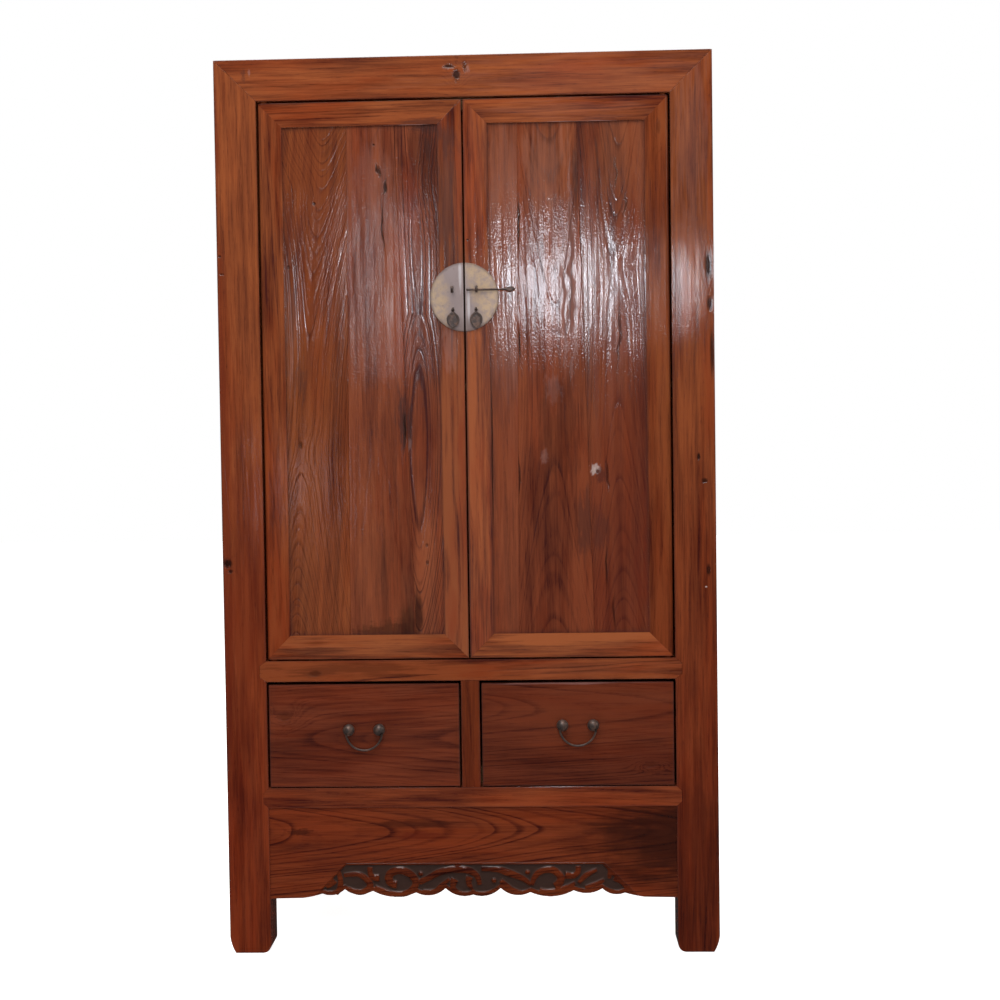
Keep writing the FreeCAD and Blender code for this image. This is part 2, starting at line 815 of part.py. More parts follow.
def door_mitre_points(side, outer, inner, high):
    if high:
        edge, corner = "door_high", "door_high - door_frame_width"
    else:
        edge, corner = "door_low", "door_low + door_frame_width"
    return [(across(side, outer), edge), (across(side, inner), edge), (across(side, inner), corner)]


def door_tenon_spans(side, start, toward, high):
    finish = f"{start} {toward} door_tenon_length"
    x = wide(side, start, finish) if toward == "+" else wide(side, finish, start)
    y = ("door_tenon_front", "door_tenon_front + door_tenon_thickness")
    if high:
        z = ("door_high - door_frame_width + door_tenon_shoulder", "door_high - door_tenon_shoulder")
    else:
        z = ("door_low + door_tenon_shoulder", "door_low + door_frame_width - door_tenon_shoulder")
    return x, y, z


def round_hinge_arris(owner, side):
    # the edge that turns past the post is rounded off
    bulge = f"door_arris * {quarter_bulge_share}"
    points = [
        (across(side, "hinge_edge"), "door_front"),
        (across(side, "hinge_edge"), "door_front + door_arris", across(-side, bulge)),
        (across(side, "hinge_edge - door_arris"), "door_front"),
    ]
    prism(owner, "hinge_arris", "xy", points, ("door_low", "door_high"), cut=True)


def staple_holes(owner, side, start, length):
    for name, offset, height, radius, wire in staple_sizes:
        for word, sign in (("upper", "+"), ("lower", "-")):
            point = (across(side, offset), start, f"{height} {sign} {radius}")
            rod(owner, f"{name}_{word}_hole", wire, "y", point, length, cut=True)


staple_sizes = (
    ("lock", "staple_offset", "staple_height", "staple_radius", "staple_wire"),
    ("drop", "drop_offset", "drop_height", "drop_eye_radius", "drop_eye_wire"),
)


def add_door(side_name, side):
    thickness = ("door_front", "door_back")
    whole = ("door_low", "door_high")
    panel_span = ("door_panel_low", "door_panel_high")
    panel_depth = ("door_panel_front", "door_panel_back")
    facing = ("door_front", "door_front + door_mitre_depth")

    hinge = new_body(f"{side_name}_door_hinge_stile")
    box(hinge, "stock", wide(side, "hinge_inner", "hinge_edge"), thickness, whole)
    meeting = new_body(f"{side_name}_door_meeting_stile")
    box(meeting, "stock", wide(side, "meeting", "meeting_inner"), thickness, whole)
    for high in (True, False):
        word = "top" if high else "bottom"
        points = door_mitre_points(side, "hinge_edge", "hinge_inner", high)
        prism(hinge, f"{word}_mitre", "xz", points, facing, cut=True)
        box(hinge, f"{word}_mortise", *door_tenon_spans(side, "hinge_inner", "+", high), cut=True)
        points = door_mitre_points(side, "meeting", "meeting_inner", high)
        prism(meeting, f"{word}_mitre", "xz", points, facing, cut=True)
        box(meeting, f"{word}_mortise", *door_tenon_spans(side, "meeting_inner", "-", high), cut=True)
    hinge_groove = wide(side, "hinge_inner", "hinge_inner + door_groove")
    meeting_groove = wide(side, "meeting_inner - door_groove", "meeting_inner")
    box(hinge, "panel_groove", hinge_groove, panel_depth, panel_span, cut=True)
    box(meeting, "panel_groove", meeting_groove, panel_depth, panel_span, cut=True)
    for number_from_below, span in enumerate(door_batten_spans(), start=1):
        name = f"batten_slot_{number_from_below}"
        box(hinge, name, hinge_groove, door_batten_depth, span, cut=True)
        box(meeting, name, meeting_groove, door_batten_depth, span, cut=True)
    round_hinge_arris(hinge, side)
    point = (across(side, "pivot_x"), "pivot_y", "door_low - bottom_pivot_length")
    rod(hinge, "bottom_pivot", "pivot_radius", "z", point, "bottom_pivot_length")
    point = (across(side, "pivot_x"), "pivot_y", "door_high")
    rod(hinge, "top_pivot", "pivot_radius", "z", point, "door_top_gap + top_pivot_length")
    staple_holes(meeting, side, "door_front - overrun", "staple_depth + overrun")

    rails = new_body(f"{side_name}_door_rails")
    for high in (True, False):
        word = "top" if high else "bottom"
        if high:
            span = ("door_high - door_frame_width", "door_high")
            lip = ("door_high - door_frame_width", "door_panel_high")
        else:
            span = ("door_low", "door_low + door_frame_width")
            lip = ("door_panel_low", "door_low + door_frame_width")
        box(rails, f"{word}_rail", wide(side, "meeting_inner", "hinge_inner"), thickness, span)
        points = door_mitre_points(side, "hinge_edge", "hinge_inner", high)
        prism(rails, f"{word}_hinge_mitre", "xz", points, facing)
        points = door_mitre_points(side, "meeting", "meeting_inner", high)
        prism(rails, f"{word}_meeting_mitre", "xz", points, facing)
        box(rails, f"{word}_hinge_tenon", *door_tenon_spans(side, "hinge_inner", "+", high))
        box(rails, f"{word}_meeting_tenon", *door_tenon_spans(side, "meeting_inner", "-", high))
        x = wide(side, "meeting_inner - door_groove", "hinge_inner + door_groove")
        box(rails, f"{word}_panel_groove", x, panel_depth, lip, cut=True)
    round_hinge_arris(rails, side)

    panel = new_body(f"{side_name}_door_panel")
    x = wide(side, "meeting_inner - door_groove", "hinge_inner + door_groove")
    box(panel, "board", x, panel_depth, panel_span)
    battens = new_body(f"{side_name}_door_battens")
    for number_from_below, span in enumerate(door_batten_spans(), start=1):
        slot_depth = ("door_panel_back - batten_let", "door_panel_back")
        box(panel, f"slot_{number_from_below}", x, slot_depth, span, cut=True)
        box(battens, f"batten_{number_from_below}", x, door_batten_depth, span)


def add_lock_plate(side_name, side):
    plate = new_body(f"{side_name}_lock_plate")
    rod(plate, "disc", "plate_radius", "y", ("0", "plate_front", "plate_height"), "plate_thickness")
    x = wide(side, "-(plate_radius + overrun)", "meeting")
    y = ("plate_front - overrun", "door_front + overrun")
    z = ("plate_height - plate_radius - overrun", "plate_height + plate_radius + overrun")
    box(plate, "other_half", x, y, z, cut=True)
    staple_holes(plate, side, "plate_front - overrun", "plate_thickness + overrun * 2")


def add_staples(side_name, side):
    # bent wires: each is half a ring in front of the plate on two legs driven into the stile
    staples = new_body(f"{side_name}_door_staples")
    for name, offset, height, radius, wire in staple_sizes:
        middle = "staple_y" if name == "lock" else "drop_y"
        x = across(side, offset)
        ring(staples, f"{name}_bow", radius, wire, "x", (x, middle, height))
        reach = f"{radius} + {wire} + overrun"
        y = (middle, f"{middle} + {reach}")
        z = (f"{height} - ({reach})", f"{height} + {reach}")
        box(staples, f"{name}_bow_back", (f"{x} - ({reach})", f"{x} + {reach}"), y, z, cut=True)
        for word, sign in (("upper", "+"), ("lower", "-")):
            point = (x, middle, f"{height} {sign} {radius}")
            length = f"door_front + staple_depth - ({middle})"
            rod(staples, f"{name}_{word}_leg", wire, "y", point, length)


# The flat head of the pin and the leaf of a drop pull, both pointed and widest at a waist
head_waist_share = 0.4
head_bulge_share = 0.07
leaf_waist_share = 0.42
leaf_bulge_share = 0.09


def add_lock_pin():
    pin = new_body("lock_pin")
    rod(pin, "shaft", "pin_radius", "x", ("pin_start", "pin_y", "pin_z"), "pin_length")
    start = "pin_start + pin_length - pin_radius"
    finish = f"{start} + pin_head_length"
    waist = f"{start} + pin_head_length * {head_waist_share}"
    bulge = f"pin_head_height * {head_bulge_share}"
    points = [
        (start, "pin_z - pin_radius / 2"),
        (waist, "pin_z - pin_head_height / 2", bulge),
        (finish, "pin_z", bulge),
        (waist, "pin_z + pin_head_height / 2"),
        (start, "pin_z + pin_radius / 2"),
    ]
    span = ("pin_y - pin_head_thickness / 2", "pin_y + pin_head_thickness / 2")
    prism(pin, "head", "xz", points, span)


def add_drop_pull(side_name, side):
    pull = new_body(f"{side_name}_drop_pull")
    x = across(side, "drop_offset")
    middle = "drop_height - drop_ring_radius"
    ring(pull, "eye", "drop_ring_radius", "drop_ring_wire", "y", (x, "drop_y", middle))
    waist = f"leaf_top - drop_leaf_length * {leaf_waist_share}"
    bottom = "leaf_top - drop_leaf_length"
    bulge = f"drop_leaf_width * {leaf_bulge_share}"
    points = [
        (x, "leaf_top", bulge),
        (f"{x} - drop_leaf_width / 2", waist, bulge),
        (x, bottom, bulge),
        (f"{x} + drop_leaf_width / 2", waist, bulge),
    ]
    span = ("drop_y - drop_leaf_thickness / 2", "drop_y + drop_leaf_thickness / 2")
    prism(pull, "leaf", "xz", points, span)


def add_drawer(side_name, side):
    front_depth = ("drawer_front", "drawer_front_back")
    lap_start = "drawer_front_back - drawer_lap"
    board_sides = (
        ("outer", "drawer_outer - drawer_side_thickness", "drawer_outer"),
        ("inner", "drawer_inner", "drawer_inner + drawer_side_thickness"),
    )
    front = new_body(f"{side_name}_drawer_front")
    front_width = wide(side, "drawer_inner", "drawer_outer")
    box(front, "board", front_width, front_depth, ("drawer_low", "drawer_high"))
    members = []
    for word, low, high in board_sides:
        x = wide(side, low, high)
        socket_depth = (lap_start, "drawer_front_back")
        box(front, f"{word}_socket", x, socket_depth, ("drawer_low", "drawer_side_high"), cut=True)
        board = new_body(f"{side_name}_drawer_{word}_side", node=False)
        box(board, "board", x, (lap_start, "drawer_rear"), ("drawer_side_low", "drawer_side_high"))
        members.append(board)
    inner = "drawer_inner + drawer_side_thickness"
    outer = "drawer_outer - drawer_side_thickness"
    back = new_body(f"{side_name}_drawer_back", node=False)
    back_depth = ("drawer_rear - drawer_side_thickness", "drawer_rear")
    box(back, "board", wide(side, inner, outer), back_depth, ("drawer_base_top", "drawer_side_high"))
    members.append(back)
    base = new_body(f"{side_name}_drawer_bottom")
    base_width = wide(side, f"{inner} - drawer_groove", f"{outer} + drawer_groove")
    base_depth = ("drawer_front_back - drawer_groove", "drawer_rear")
    base_span = ("drawer_base", "drawer_base_top")
    box(base, "board", base_width, base_depth, base_span)
    for owner in members[:2] + [front]:
        box(owner, "bottom_groove", base_width, base_depth, base_span, cut=True)
    new_group(f"{side_name}_drawer_box", members)

    bosses = new_body(f"{side_name}_handle_bosses")
    height = f"lower_top + {side_name}_handle_height"
    middle = across(side, "drawer_middle")
    for word, hand in sides:
        x = f"{middle} + {across(hand, 'boss_spacing / 2')}"
        ball(bosses, f"{word}_knob", "boss_radius", (x, "boss_y", height))
        reach = "boss_radius + overrun"
        behind = ("drawer_front", "boss_y + boss_radius + overrun")
        around = (f"{x} - ({reach})", f"{x} + {reach}")
        span = (f"{height} - ({reach})", f"{height} + {reach}")
        box(bosses, f"{word}_back", around, behind, span, cut=True)
        rod(bosses, f"{word}_stud", "stud_radius", "y", (x, "drawer_front", height), "stud_length")
        rod(front, f"{word}_stud_hole", "stud_radius", "y", (x, "drawer_front", height),
            "drawer_front_thickness", cut=True)
        cut_bail_slot(bosses, word, middle, hand, height)
    add_bail(side_name, middle, height)


def cut_bail_slot(bosses, word, middle, hand, height):
    # the leg of the bail swings in a slot that is open below and in front
    reach = "(boss_radius * 2)"
    points = [
        ("boss_y + slot_half", height),
        ("boss_y + slot_half", f"{height} - {reach}"),
        (f"boss_y - {reach}", f"{height} - {reach}"),
        (
            f"boss_y - {reach} * sin({bail_swing} deg) - slot_half * cos({bail_swing} deg)",
            f"{height} - {reach} * cos({bail_swing} deg) + slot_half * sin({bail_swing} deg)",
        ),
        (
            f"boss_y - slot_half * cos({bail_swing} deg)",
            f"{height} + slot_half * sin({bail_swing} deg)",
        ),
    ]
    leg = f"{middle} + {across(hand, 'bail_half')}"
    span = (f"{leg} - slot_half", f"{leg} + slot_half")
    prism(bosses, f"{word}_slot", "yz", points, span, cut=True)
    length = "slot_half + bail_pin_length + bail_pin_clearance"
    start = f"{leg} - slot_half" if hand < 0 else f"{leg} + slot_half - ({length})"
    point = (start, "boss_y", height)
    rod(bosses, f"{word}_slot_end", "slot_half", "x", (f"{leg} - slot_half", "boss_y", height),
        "slot_half * 2", cut=True)
    rod(bosses, f"{word}_pin_hole", "bail_pin_radius + bail_pin_clearance", "x", point, length, cut=True)


def add_bail(side_name, middle, height):
    bail = new_body(f"{side_name}_bail_handle")
    centre = f"{height} - bail_drop + bail_radius"
    ring(bail, "bow", "bail_radius", "bail_wire", "y", (middle, "boss_y", centre))
    reach = "bail_radius + bail_wire + overrun"
    x = (f"{middle} - ({reach})", f"{middle} + {reach}")
    y = ("boss_y - bail_wire - overrun", "boss_y + bail_wire + overrun")
    box(bail, "bow_top", x, y, (height, f"{centre} + {reach}"), cut=True)
    for word, hand in sides:
        leg = f"{middle} + {across(hand, 'bail_half')}"
        ball(bail, f"{word}_elbow", "bail_elbow", (leg, "boss_y", height))
        start = leg if hand < 0 else f"{leg} - bail_pin_length"
        rod(bail, f"{word}_pin", "bail_pin_radius", "x", (start, "boss_y", height), "bail_pin_length")


for end_name, end in ends:
    for side_name, side in sides:
        add_post(side_name, side, end_name, end)
    add_cross_top_rail(end_name, end)
    for level in levels:
        add_cross_rail(end_name, end, level)
for side_name, side in sides:
    add_side_top_rail(side_name, side)
    for level in levels:
        add_side_rail(side_name, side, level)
add_panels()
add_top_panel()
add_floor_and_shelf()
add_door_stop()
add_divider()
add_runners()
add_aprons()
for side_name, side in sides:
    add_door(side_name, side)
    add_lock_plate(side_name, side)
    add_staples(side_name, side)
    add_drop_pull(side_name, side)
    add_drawer(side_name, side)
add_lock_pin()
doc.recompute()

# Nothing is written unless every object is sound and every cut removed wood
faults = []
for thing in doc.Objects:
    if {"Invalid", "Error"} & set(thing.State):
        faults.append(f"{thing.Label} of {thing.InList[0].Label if thing.InList else 'document'}")
    if "Subtractive" in thing.TypeId or thing.TypeId == "PartDesign::Pocket":
        if not thing.Shape.Volume < thing.BaseFeature.Shape.Volume:
            faults.append(f"{thing.Label} cuts nothing")
for node in nodes:
    if node.Shape.isNull() or not node.Shape.isValid():
        faults.append(f"{node.Label} has no sound shape")
if faults:
    raise SystemExit("\n".join(faults))
for node in nodes:
    node.Shape.exportStep(f"parts/{node.Label}.step")
print(len(nodes), "nodes written")
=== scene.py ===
import bmesh
import bpy
import json
import math
from mathutils import Matrix, Vector


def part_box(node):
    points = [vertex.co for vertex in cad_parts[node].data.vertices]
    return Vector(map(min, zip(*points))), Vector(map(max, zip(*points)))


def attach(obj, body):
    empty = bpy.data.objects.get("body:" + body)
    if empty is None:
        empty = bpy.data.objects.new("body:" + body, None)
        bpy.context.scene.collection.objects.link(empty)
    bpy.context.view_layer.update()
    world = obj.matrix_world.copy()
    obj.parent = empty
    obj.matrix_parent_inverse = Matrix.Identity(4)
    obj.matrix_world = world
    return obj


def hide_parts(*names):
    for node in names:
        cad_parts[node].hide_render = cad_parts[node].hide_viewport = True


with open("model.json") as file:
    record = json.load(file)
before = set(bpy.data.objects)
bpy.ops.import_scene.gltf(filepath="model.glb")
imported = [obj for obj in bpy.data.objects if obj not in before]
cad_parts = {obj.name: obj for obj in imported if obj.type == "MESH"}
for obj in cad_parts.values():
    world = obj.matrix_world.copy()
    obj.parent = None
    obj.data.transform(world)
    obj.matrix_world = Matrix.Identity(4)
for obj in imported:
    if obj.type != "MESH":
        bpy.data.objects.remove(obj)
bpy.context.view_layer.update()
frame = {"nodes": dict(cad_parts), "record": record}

# An old elm wardrobe cabinet: mitred frame, two doors with a round brass lock plate,
# two drawers with iron bails, and a carved scalloped apron. Metres, doors facing -Y.


print("frame loaded:", len(frame["nodes"]), "nodes")

view = {
    "place": (0.1525, -2.9528, 1.0264),
    "pitch": 1.608,      # degrees down
    "yaw": 1.793,
    "roll": -0.799,
    "lens": 46.8,
}


def putIn(name, data):
    made = bpy.data.objects.new(name, data)
    bpy.context.scene.collection.objects.link(made)
    return made


def makePiece(name, shape):
    mesh = bpy.data.meshes.new(name)
    shape.to_mesh(mesh)
    shape.free()
    return putIn(name, mesh)


def makeCamera():
    data = bpy.data.cameras.new("camera")
    data.lens = view["lens"]
    data.sensor_width = 36
    data.dof.use_dof = False
    camera = putIn("camera", data)
    facing = Matrix(((1, 0, 0), (0, 0, -1), (0, 1, 0)))  # world axes seen by a level camera
    turn = (Matrix.Rotation(math.radians(view["roll"]), 3, "Z")
            @ Matrix.Rotation(math.radians(view["pitch"]), 3, "X")
            @ Matrix.Rotation(math.radians(view["yaw"]), 3, "Y") @ facing)
    right, down, ahead = turn
    camera.matrix_world = (Matrix.Translation(view["place"])
                           @ Matrix((right, -down, -ahead)).transposed().to_4x4())
    bpy.context.scene.camera = camera


lamps = {
    # name: place, aim, width and height, watts, colour
    "flash": ((0.222, -2.95, 1.77), (0.05, -0.25, 1.2), (0.20, 0.40), 9.3, (0.86, 0.91, 1.0)),
    "flashLeft": ((-0.50, -2.95, 1.76), (-0.1, -0.25, 1.2), (0.06, 0.70), 1.9, (0.90, 0.93, 1.0)),
    "flashLow": ((-0.86, -2.95, 0.95), (-0.3, -0.25, 1.0), (0.05, 0.42), 0.45, (0.86, 0.88, 1.0)),
    "flashRight": ((0.730, -2.95, 1.76), (0.3, -0.25, 1.2), (0.03, 0.34), 1.1, (0.90, 0.93, 1.0)),
    "overhead": ((-0.4, -2.0, 4.2), (0.0, -0.6, 0.0), (2.6, 2.6), 124, (1.0, 0.98, 0.96)),
    "side": ((3.4, -0.8, 2.2), (0.0, 0.0, 0.8), (2.0, 2.0), 26, (1.0, 0.97, 0.94)),
    "rear": ((-2.6, 2.8, 3.0), (0.0, 0.2, 0.6), (2.2, 2.2), 60, (1.0, 0.98, 0.96)),
}


def makeLamps():
    for name, (place, aim, (width, height), watts, colour) in lamps.items():
        data = bpy.data.lights.new(name, "AREA")
        data.shape = "ELLIPSE"
        data.size = width
        data.size_y = height
        data.energy = watts
        data.color = colour
        lamp = putIn(name, data)
        lamp.location = place
        lamp.rotation_euler = (Vector(aim) - Vector(place)).to_track_quat("-Z", "Y").to_euler()


# Short ways to add nodes; each gives back the socket that the next one reads
def feed(tree, socket, value):
    if isinstance(value, bpy.types.NodeSocket):
        tree.links.new(value, socket)
    elif value is not None:
        socket.default_value = value


def sumNode(tree, operation, a, b=None, c=None, clamp=False):
    node = tree.nodes.new("ShaderNodeMath")
    node.operation = operation
    node.use_clamp = clamp
    for socket, value in zip(node.inputs, (a, b, c)):
        feed(tree, socket, value)
    return node.outputs[0]


def times(tree, a, b):
    return sumNode(tree, "MULTIPLY", a, b)


def timesPlus(tree, a, b, c, clamp=False):
    return sumNode(tree, "MULTIPLY_ADD", a, b, c, clamp)


def offHalf(tree, value):
    return sumNode(tree, "SUBTRACT", value, 0.5)


def fill(tree, node, **values):
    # a value or a link on each named socket; an underscore stands for a space
    for label, value in values.items():
        feed(tree, node.inputs[label.replace("_", " ")], value)
    return node.outputs


def vectorNode(tree, operation, a, b=None, scale=None):
    node = tree.nodes.new("ShaderNodeVectorMath")
    node.operation = operation
    feed(tree, node.inputs[0], a)
    feed(tree, node.inputs[1], b)
    if operation == "SCALE":
        feed(tree, node.inputs["Scale"], scale)
    return node.outputs["Value" if operation == "LENGTH" else "Vector"]


def noiseNode(tree, vector, scale, detail=2.0, roughness=0.5, output="Fac"):
    node = tree.nodes.new("ShaderNodeTexNoise")
    return fill(tree, node, Vector=vector, Scale=scale, Detail=detail, Roughness=roughness)[output]


def rangeNode(tree, value, low, high, toLow=0.0, toHigh=1.0):
    node = tree.nodes.new("ShaderNodeMapRange")
    node.interpolation_type = "SMOOTHSTEP"
    return fill(tree, node, Value=value, From_Min=low, From_Max=high, To_Min=toLow, To_Max=toHigh)[0]


def mixNode(tree, factor, a, b, blend="MIX"):
    node = tree.nodes.new("ShaderNodeMix")
    node.data_type = "RGBA"
    node.blend_type = blend
    for number, value in ((0, factor), (6, a), (7, b)):  # the sockets of the colour mix
        feed(tree, node.inputs[number], value)
    return node.outputs[2]


def apart(tree, vector):
    node = tree.nodes.new("ShaderNodeSeparateXYZ")
    feed(tree, node.inputs[0], vector)
    return node.outputs


def tinted(tree, colour, mask, strength, shade):
    return mixNode(tree, times(tree, mask, strength), colour, (*shade, 1))


def grainNoise(tree, grain, squash, scale, detail=2.0, roughness=0.5, output="Fac"):
    drawn = vectorNode(tree, "MULTIPLY", grain, (1, 1, squash))  # the fibres run along Z
    return noiseNode(tree, drawn, scale, detail, roughness, output)


def driftNode(tree, place, noise, reach):
    # the place moved by up to half the reach, by a noise's colour
    noise = vectorNode(tree, "SUBTRACT", noise, (0.5, 0.5, 0.5))
    return vectorNode(tree, "ADD", place, vectorNode(tree, "SCALE", noise, scale=reach))


def newMaterial(name):
    made = bpy.data.materials.new(name)
    made.use_nodes = True
    tree = made.node_tree
    place = tree.nodes.new("ShaderNodeTexCoord").outputs["Object"]
    return made, tree, tree.nodes["Principled BSDF"], place


def addBump(tree, shader, height, distance):
    bump = tree.nodes.new("ShaderNodeBump")
    feed(tree, shader.inputs["Normal"], fill(tree, bump, Strength=1.0, Distance=distance, Height=height)[0])


def newGroup(name, inputs, outputs):
    # inputs and outputs are the sockets' names by kind
    tree = bpy.data.node_groups.new(name, "ShaderNodeTree")
    for way, sockets in (("INPUT", inputs), ("OUTPUT", outputs)):
        for kind, labels in sockets.items():
            for label in labels:
                tree.interface.new_socket(label, in_out=way, socket_type="NodeSocket" + kind)
    return tree, tree.nodes.new("NodeGroupInput").outputs, tree.nodes.new("NodeGroupOutput").inputs


ground = {"size": 30, "colour": (0.9, 0.9, 0.9), "roughness": 0.85, "specular": 0.1, "glow": 0.9,
          "airColour": (1, 0.985, 0.97), "air": 0.42, "mirrored": 0.03, "seen": 1.0}


def makeGround():
    shape = bmesh.new()
    bmesh.ops.create_grid(shape, x_segments=1, y_segments=1, size=ground["size"] / 2)
    floor = makePiece("floor", shape)
    floor.visible_glossy = False  # the lacquer would mirror it as a haze
    made, tree, shader = newMaterial("paleFloor")[:3]
    path = tree.nodes.new("ShaderNodeLightPath").outputs
    glow = times(tree, path["Is Camera Ray"], ground["glow"])  # white for the camera alone
    fill(tree, shader, Base_Color=(*ground["colour"], 1), Roughness=ground["roughness"],
         Specular_IOR_Level=ground["specular"], Emission_Color=(1, 1, 1, 1), Emission_Strength=glow)
    floor.data.materials.append(made)
    world = bpy.data.worlds.new("studio")
    bpy.context.scene.world = world
    world.use_nodes = True
    tree = world.node_tree
    path = tree.nodes.new("ShaderNodeLightPath").outputs
    dim = rangeNode(tree, path["Is Glossy Ray"], 0.0, 1.0, ground["air"], ground["mirrored"])
    around = tree.nodes.new("ShaderNodeBackground")
    fill(tree, around, Color=(*ground["airColour"], 1), Strength=dim)
    backdrop = tree.nodes["Background"]
    fill(tree, backdrop, Color=(1, 1, 1, 1), Strength=ground["seen"])
    mix = tree.nodes.new("ShaderNodeMixShader")
    for number, value in enumerate((path["Is Camera Ray"], around.outputs[0], backdrop.outputs[0])):
        feed(tree, mix.inputs[number], value)
    feed(tree, tree.nodes["World Output"].inputs["Surface"], mix.outputs[0])


makeCamera()
makeLamps()
makeGround()
bpy.context.scene.view_settings.view_transform = "Standard"
print("camera, lamps and floor placed")


def makeSpotGroup():
    # a soft-edged oval: a knot, a stain, a crack when it is long and thin, or a worn patch
    tree, start, finish = newGroup(
        "spot", {"Vector": ["Place", "Centre", "Size", "Grain"], "Float": ["Ragged", "Sway"]},
        {"Float": ["Mask", "Near"]})
    away = vectorNode(tree, "SUBTRACT", start["Place"], start["Centre"])
    away = driftNode(tree, away, noiseNode(tree, start["Place"], 17, output="Color"), start["Sway"])
    share = vectorNode(tree, "DIVIDE", away, start["Size"])
    torn = noiseNode(tree, vectorNode(tree, "ADD", share, start["Centre"]), 2.6, 4.0, 0.6)
    reach = vectorNode(tree, "LENGTH", share)
    reach = timesPlus(tree, offHalf(tree, torn), start["Ragged"], reach)
    # the edge is pulled out along the grain
    drawn = grainNoise(tree, start["Grain"], 0.07, 130, 2.0, 0.6)
    reach = timesPlus(tree, offHalf(tree, drawn), start["Ragged"], reach)
    feed(tree, finish["Mask"], rangeNode(tree, reach, 1.0, 0.3))
    square = times(tree, reach, reach)
    feed(tree, finish["Near"], sumNode(tree, "EXPONENT", times(tree, square, -0.35)))
    return tree


def makeBorderGroup():
    # 1 at the edges between a board's faces, falling to 0 inside each face
    tree, start, finish = newGroup(
        "border", {"Vector": ["Place", "Centre", "Half"], "Float": ["Width"]}, {"Float": ["Mask"]})
    away = vectorNode(tree, "ABSOLUTE", vectorNode(tree, "SUBTRACT", start["Place"], start["Centre"]))
    left = apart(tree, vectorNode(tree, "SUBTRACT", start["Half"], away))
    nearest = sumNode(tree, "MAXIMUM", sumNode(tree, "MINIMUM", left[0], left[1]), sumNode(
        tree, "MINIMUM", sumNode(tree, "MAXIMUM", left[0], left[1]), left[2]))
    torn = noiseNode(tree, start["Place"], 28, 3.0, 0.6)
    reach = times(tree, start["Width"], timesPlus(tree, torn, 1.4, 0.3))
    feed(tree, finish["Mask"], rangeNode(tree, nearest, reach, 0.0))
    return tree


# The elm's textures: what each follows, how far it is drawn out along Z, scale, detail, roughness
elmTextures = {
    "patch": ("Grain", 0.35, 8, 3.0, 0.55), "fibre": ("Grain", 0.03, 480, 2.0, 0.6),
    "streak": ("Grain", 0.045, 100, 3.0, 0.62), "broad": ("Grain", 0.1, 26, 2.0, 0.5),
    "pore": ("Grain", 0.08, 900, 0.0, 0.5), "flame": ("Grain", 0.16, 19, 3.0, 0.6),
    "comb": ("Grain", 0.045, 95, 1.0, 0.5), "dent": ("Grain", 0.3, 30, 2.0, 0.5),
    "cloud": ("Place", 1, 9, 3.0, 0.6), "speck": ("Place", 0.6, 330, 2.0, 0.7),
    "peel": ("Place", 1, 230, 1.0, 0.5),  # orange peel in the lacquer
    "warp": ("Place", 1, 5.5, 1.0, 0.5),  # boards that have moved a little
}
# how much each texture counts in the stripes, in the colour's depth and in the surface's height
elmStripes = {"streak": 1.9, "broad": 1.7, "patch": 1.5}
elmDepth = {"base": 0.26, "fibre": 0.8, "pore": 0.22, "flame": 0.8}
elmRelief = {"line": -0.55, "fibre": 0.06, "peel": 0.42, "broad": 2.0, "warp": 9.0, "dent": 2.0,
             "speck": 0.45}
flameTint = (0.86, 0.60, 0.52, 1)


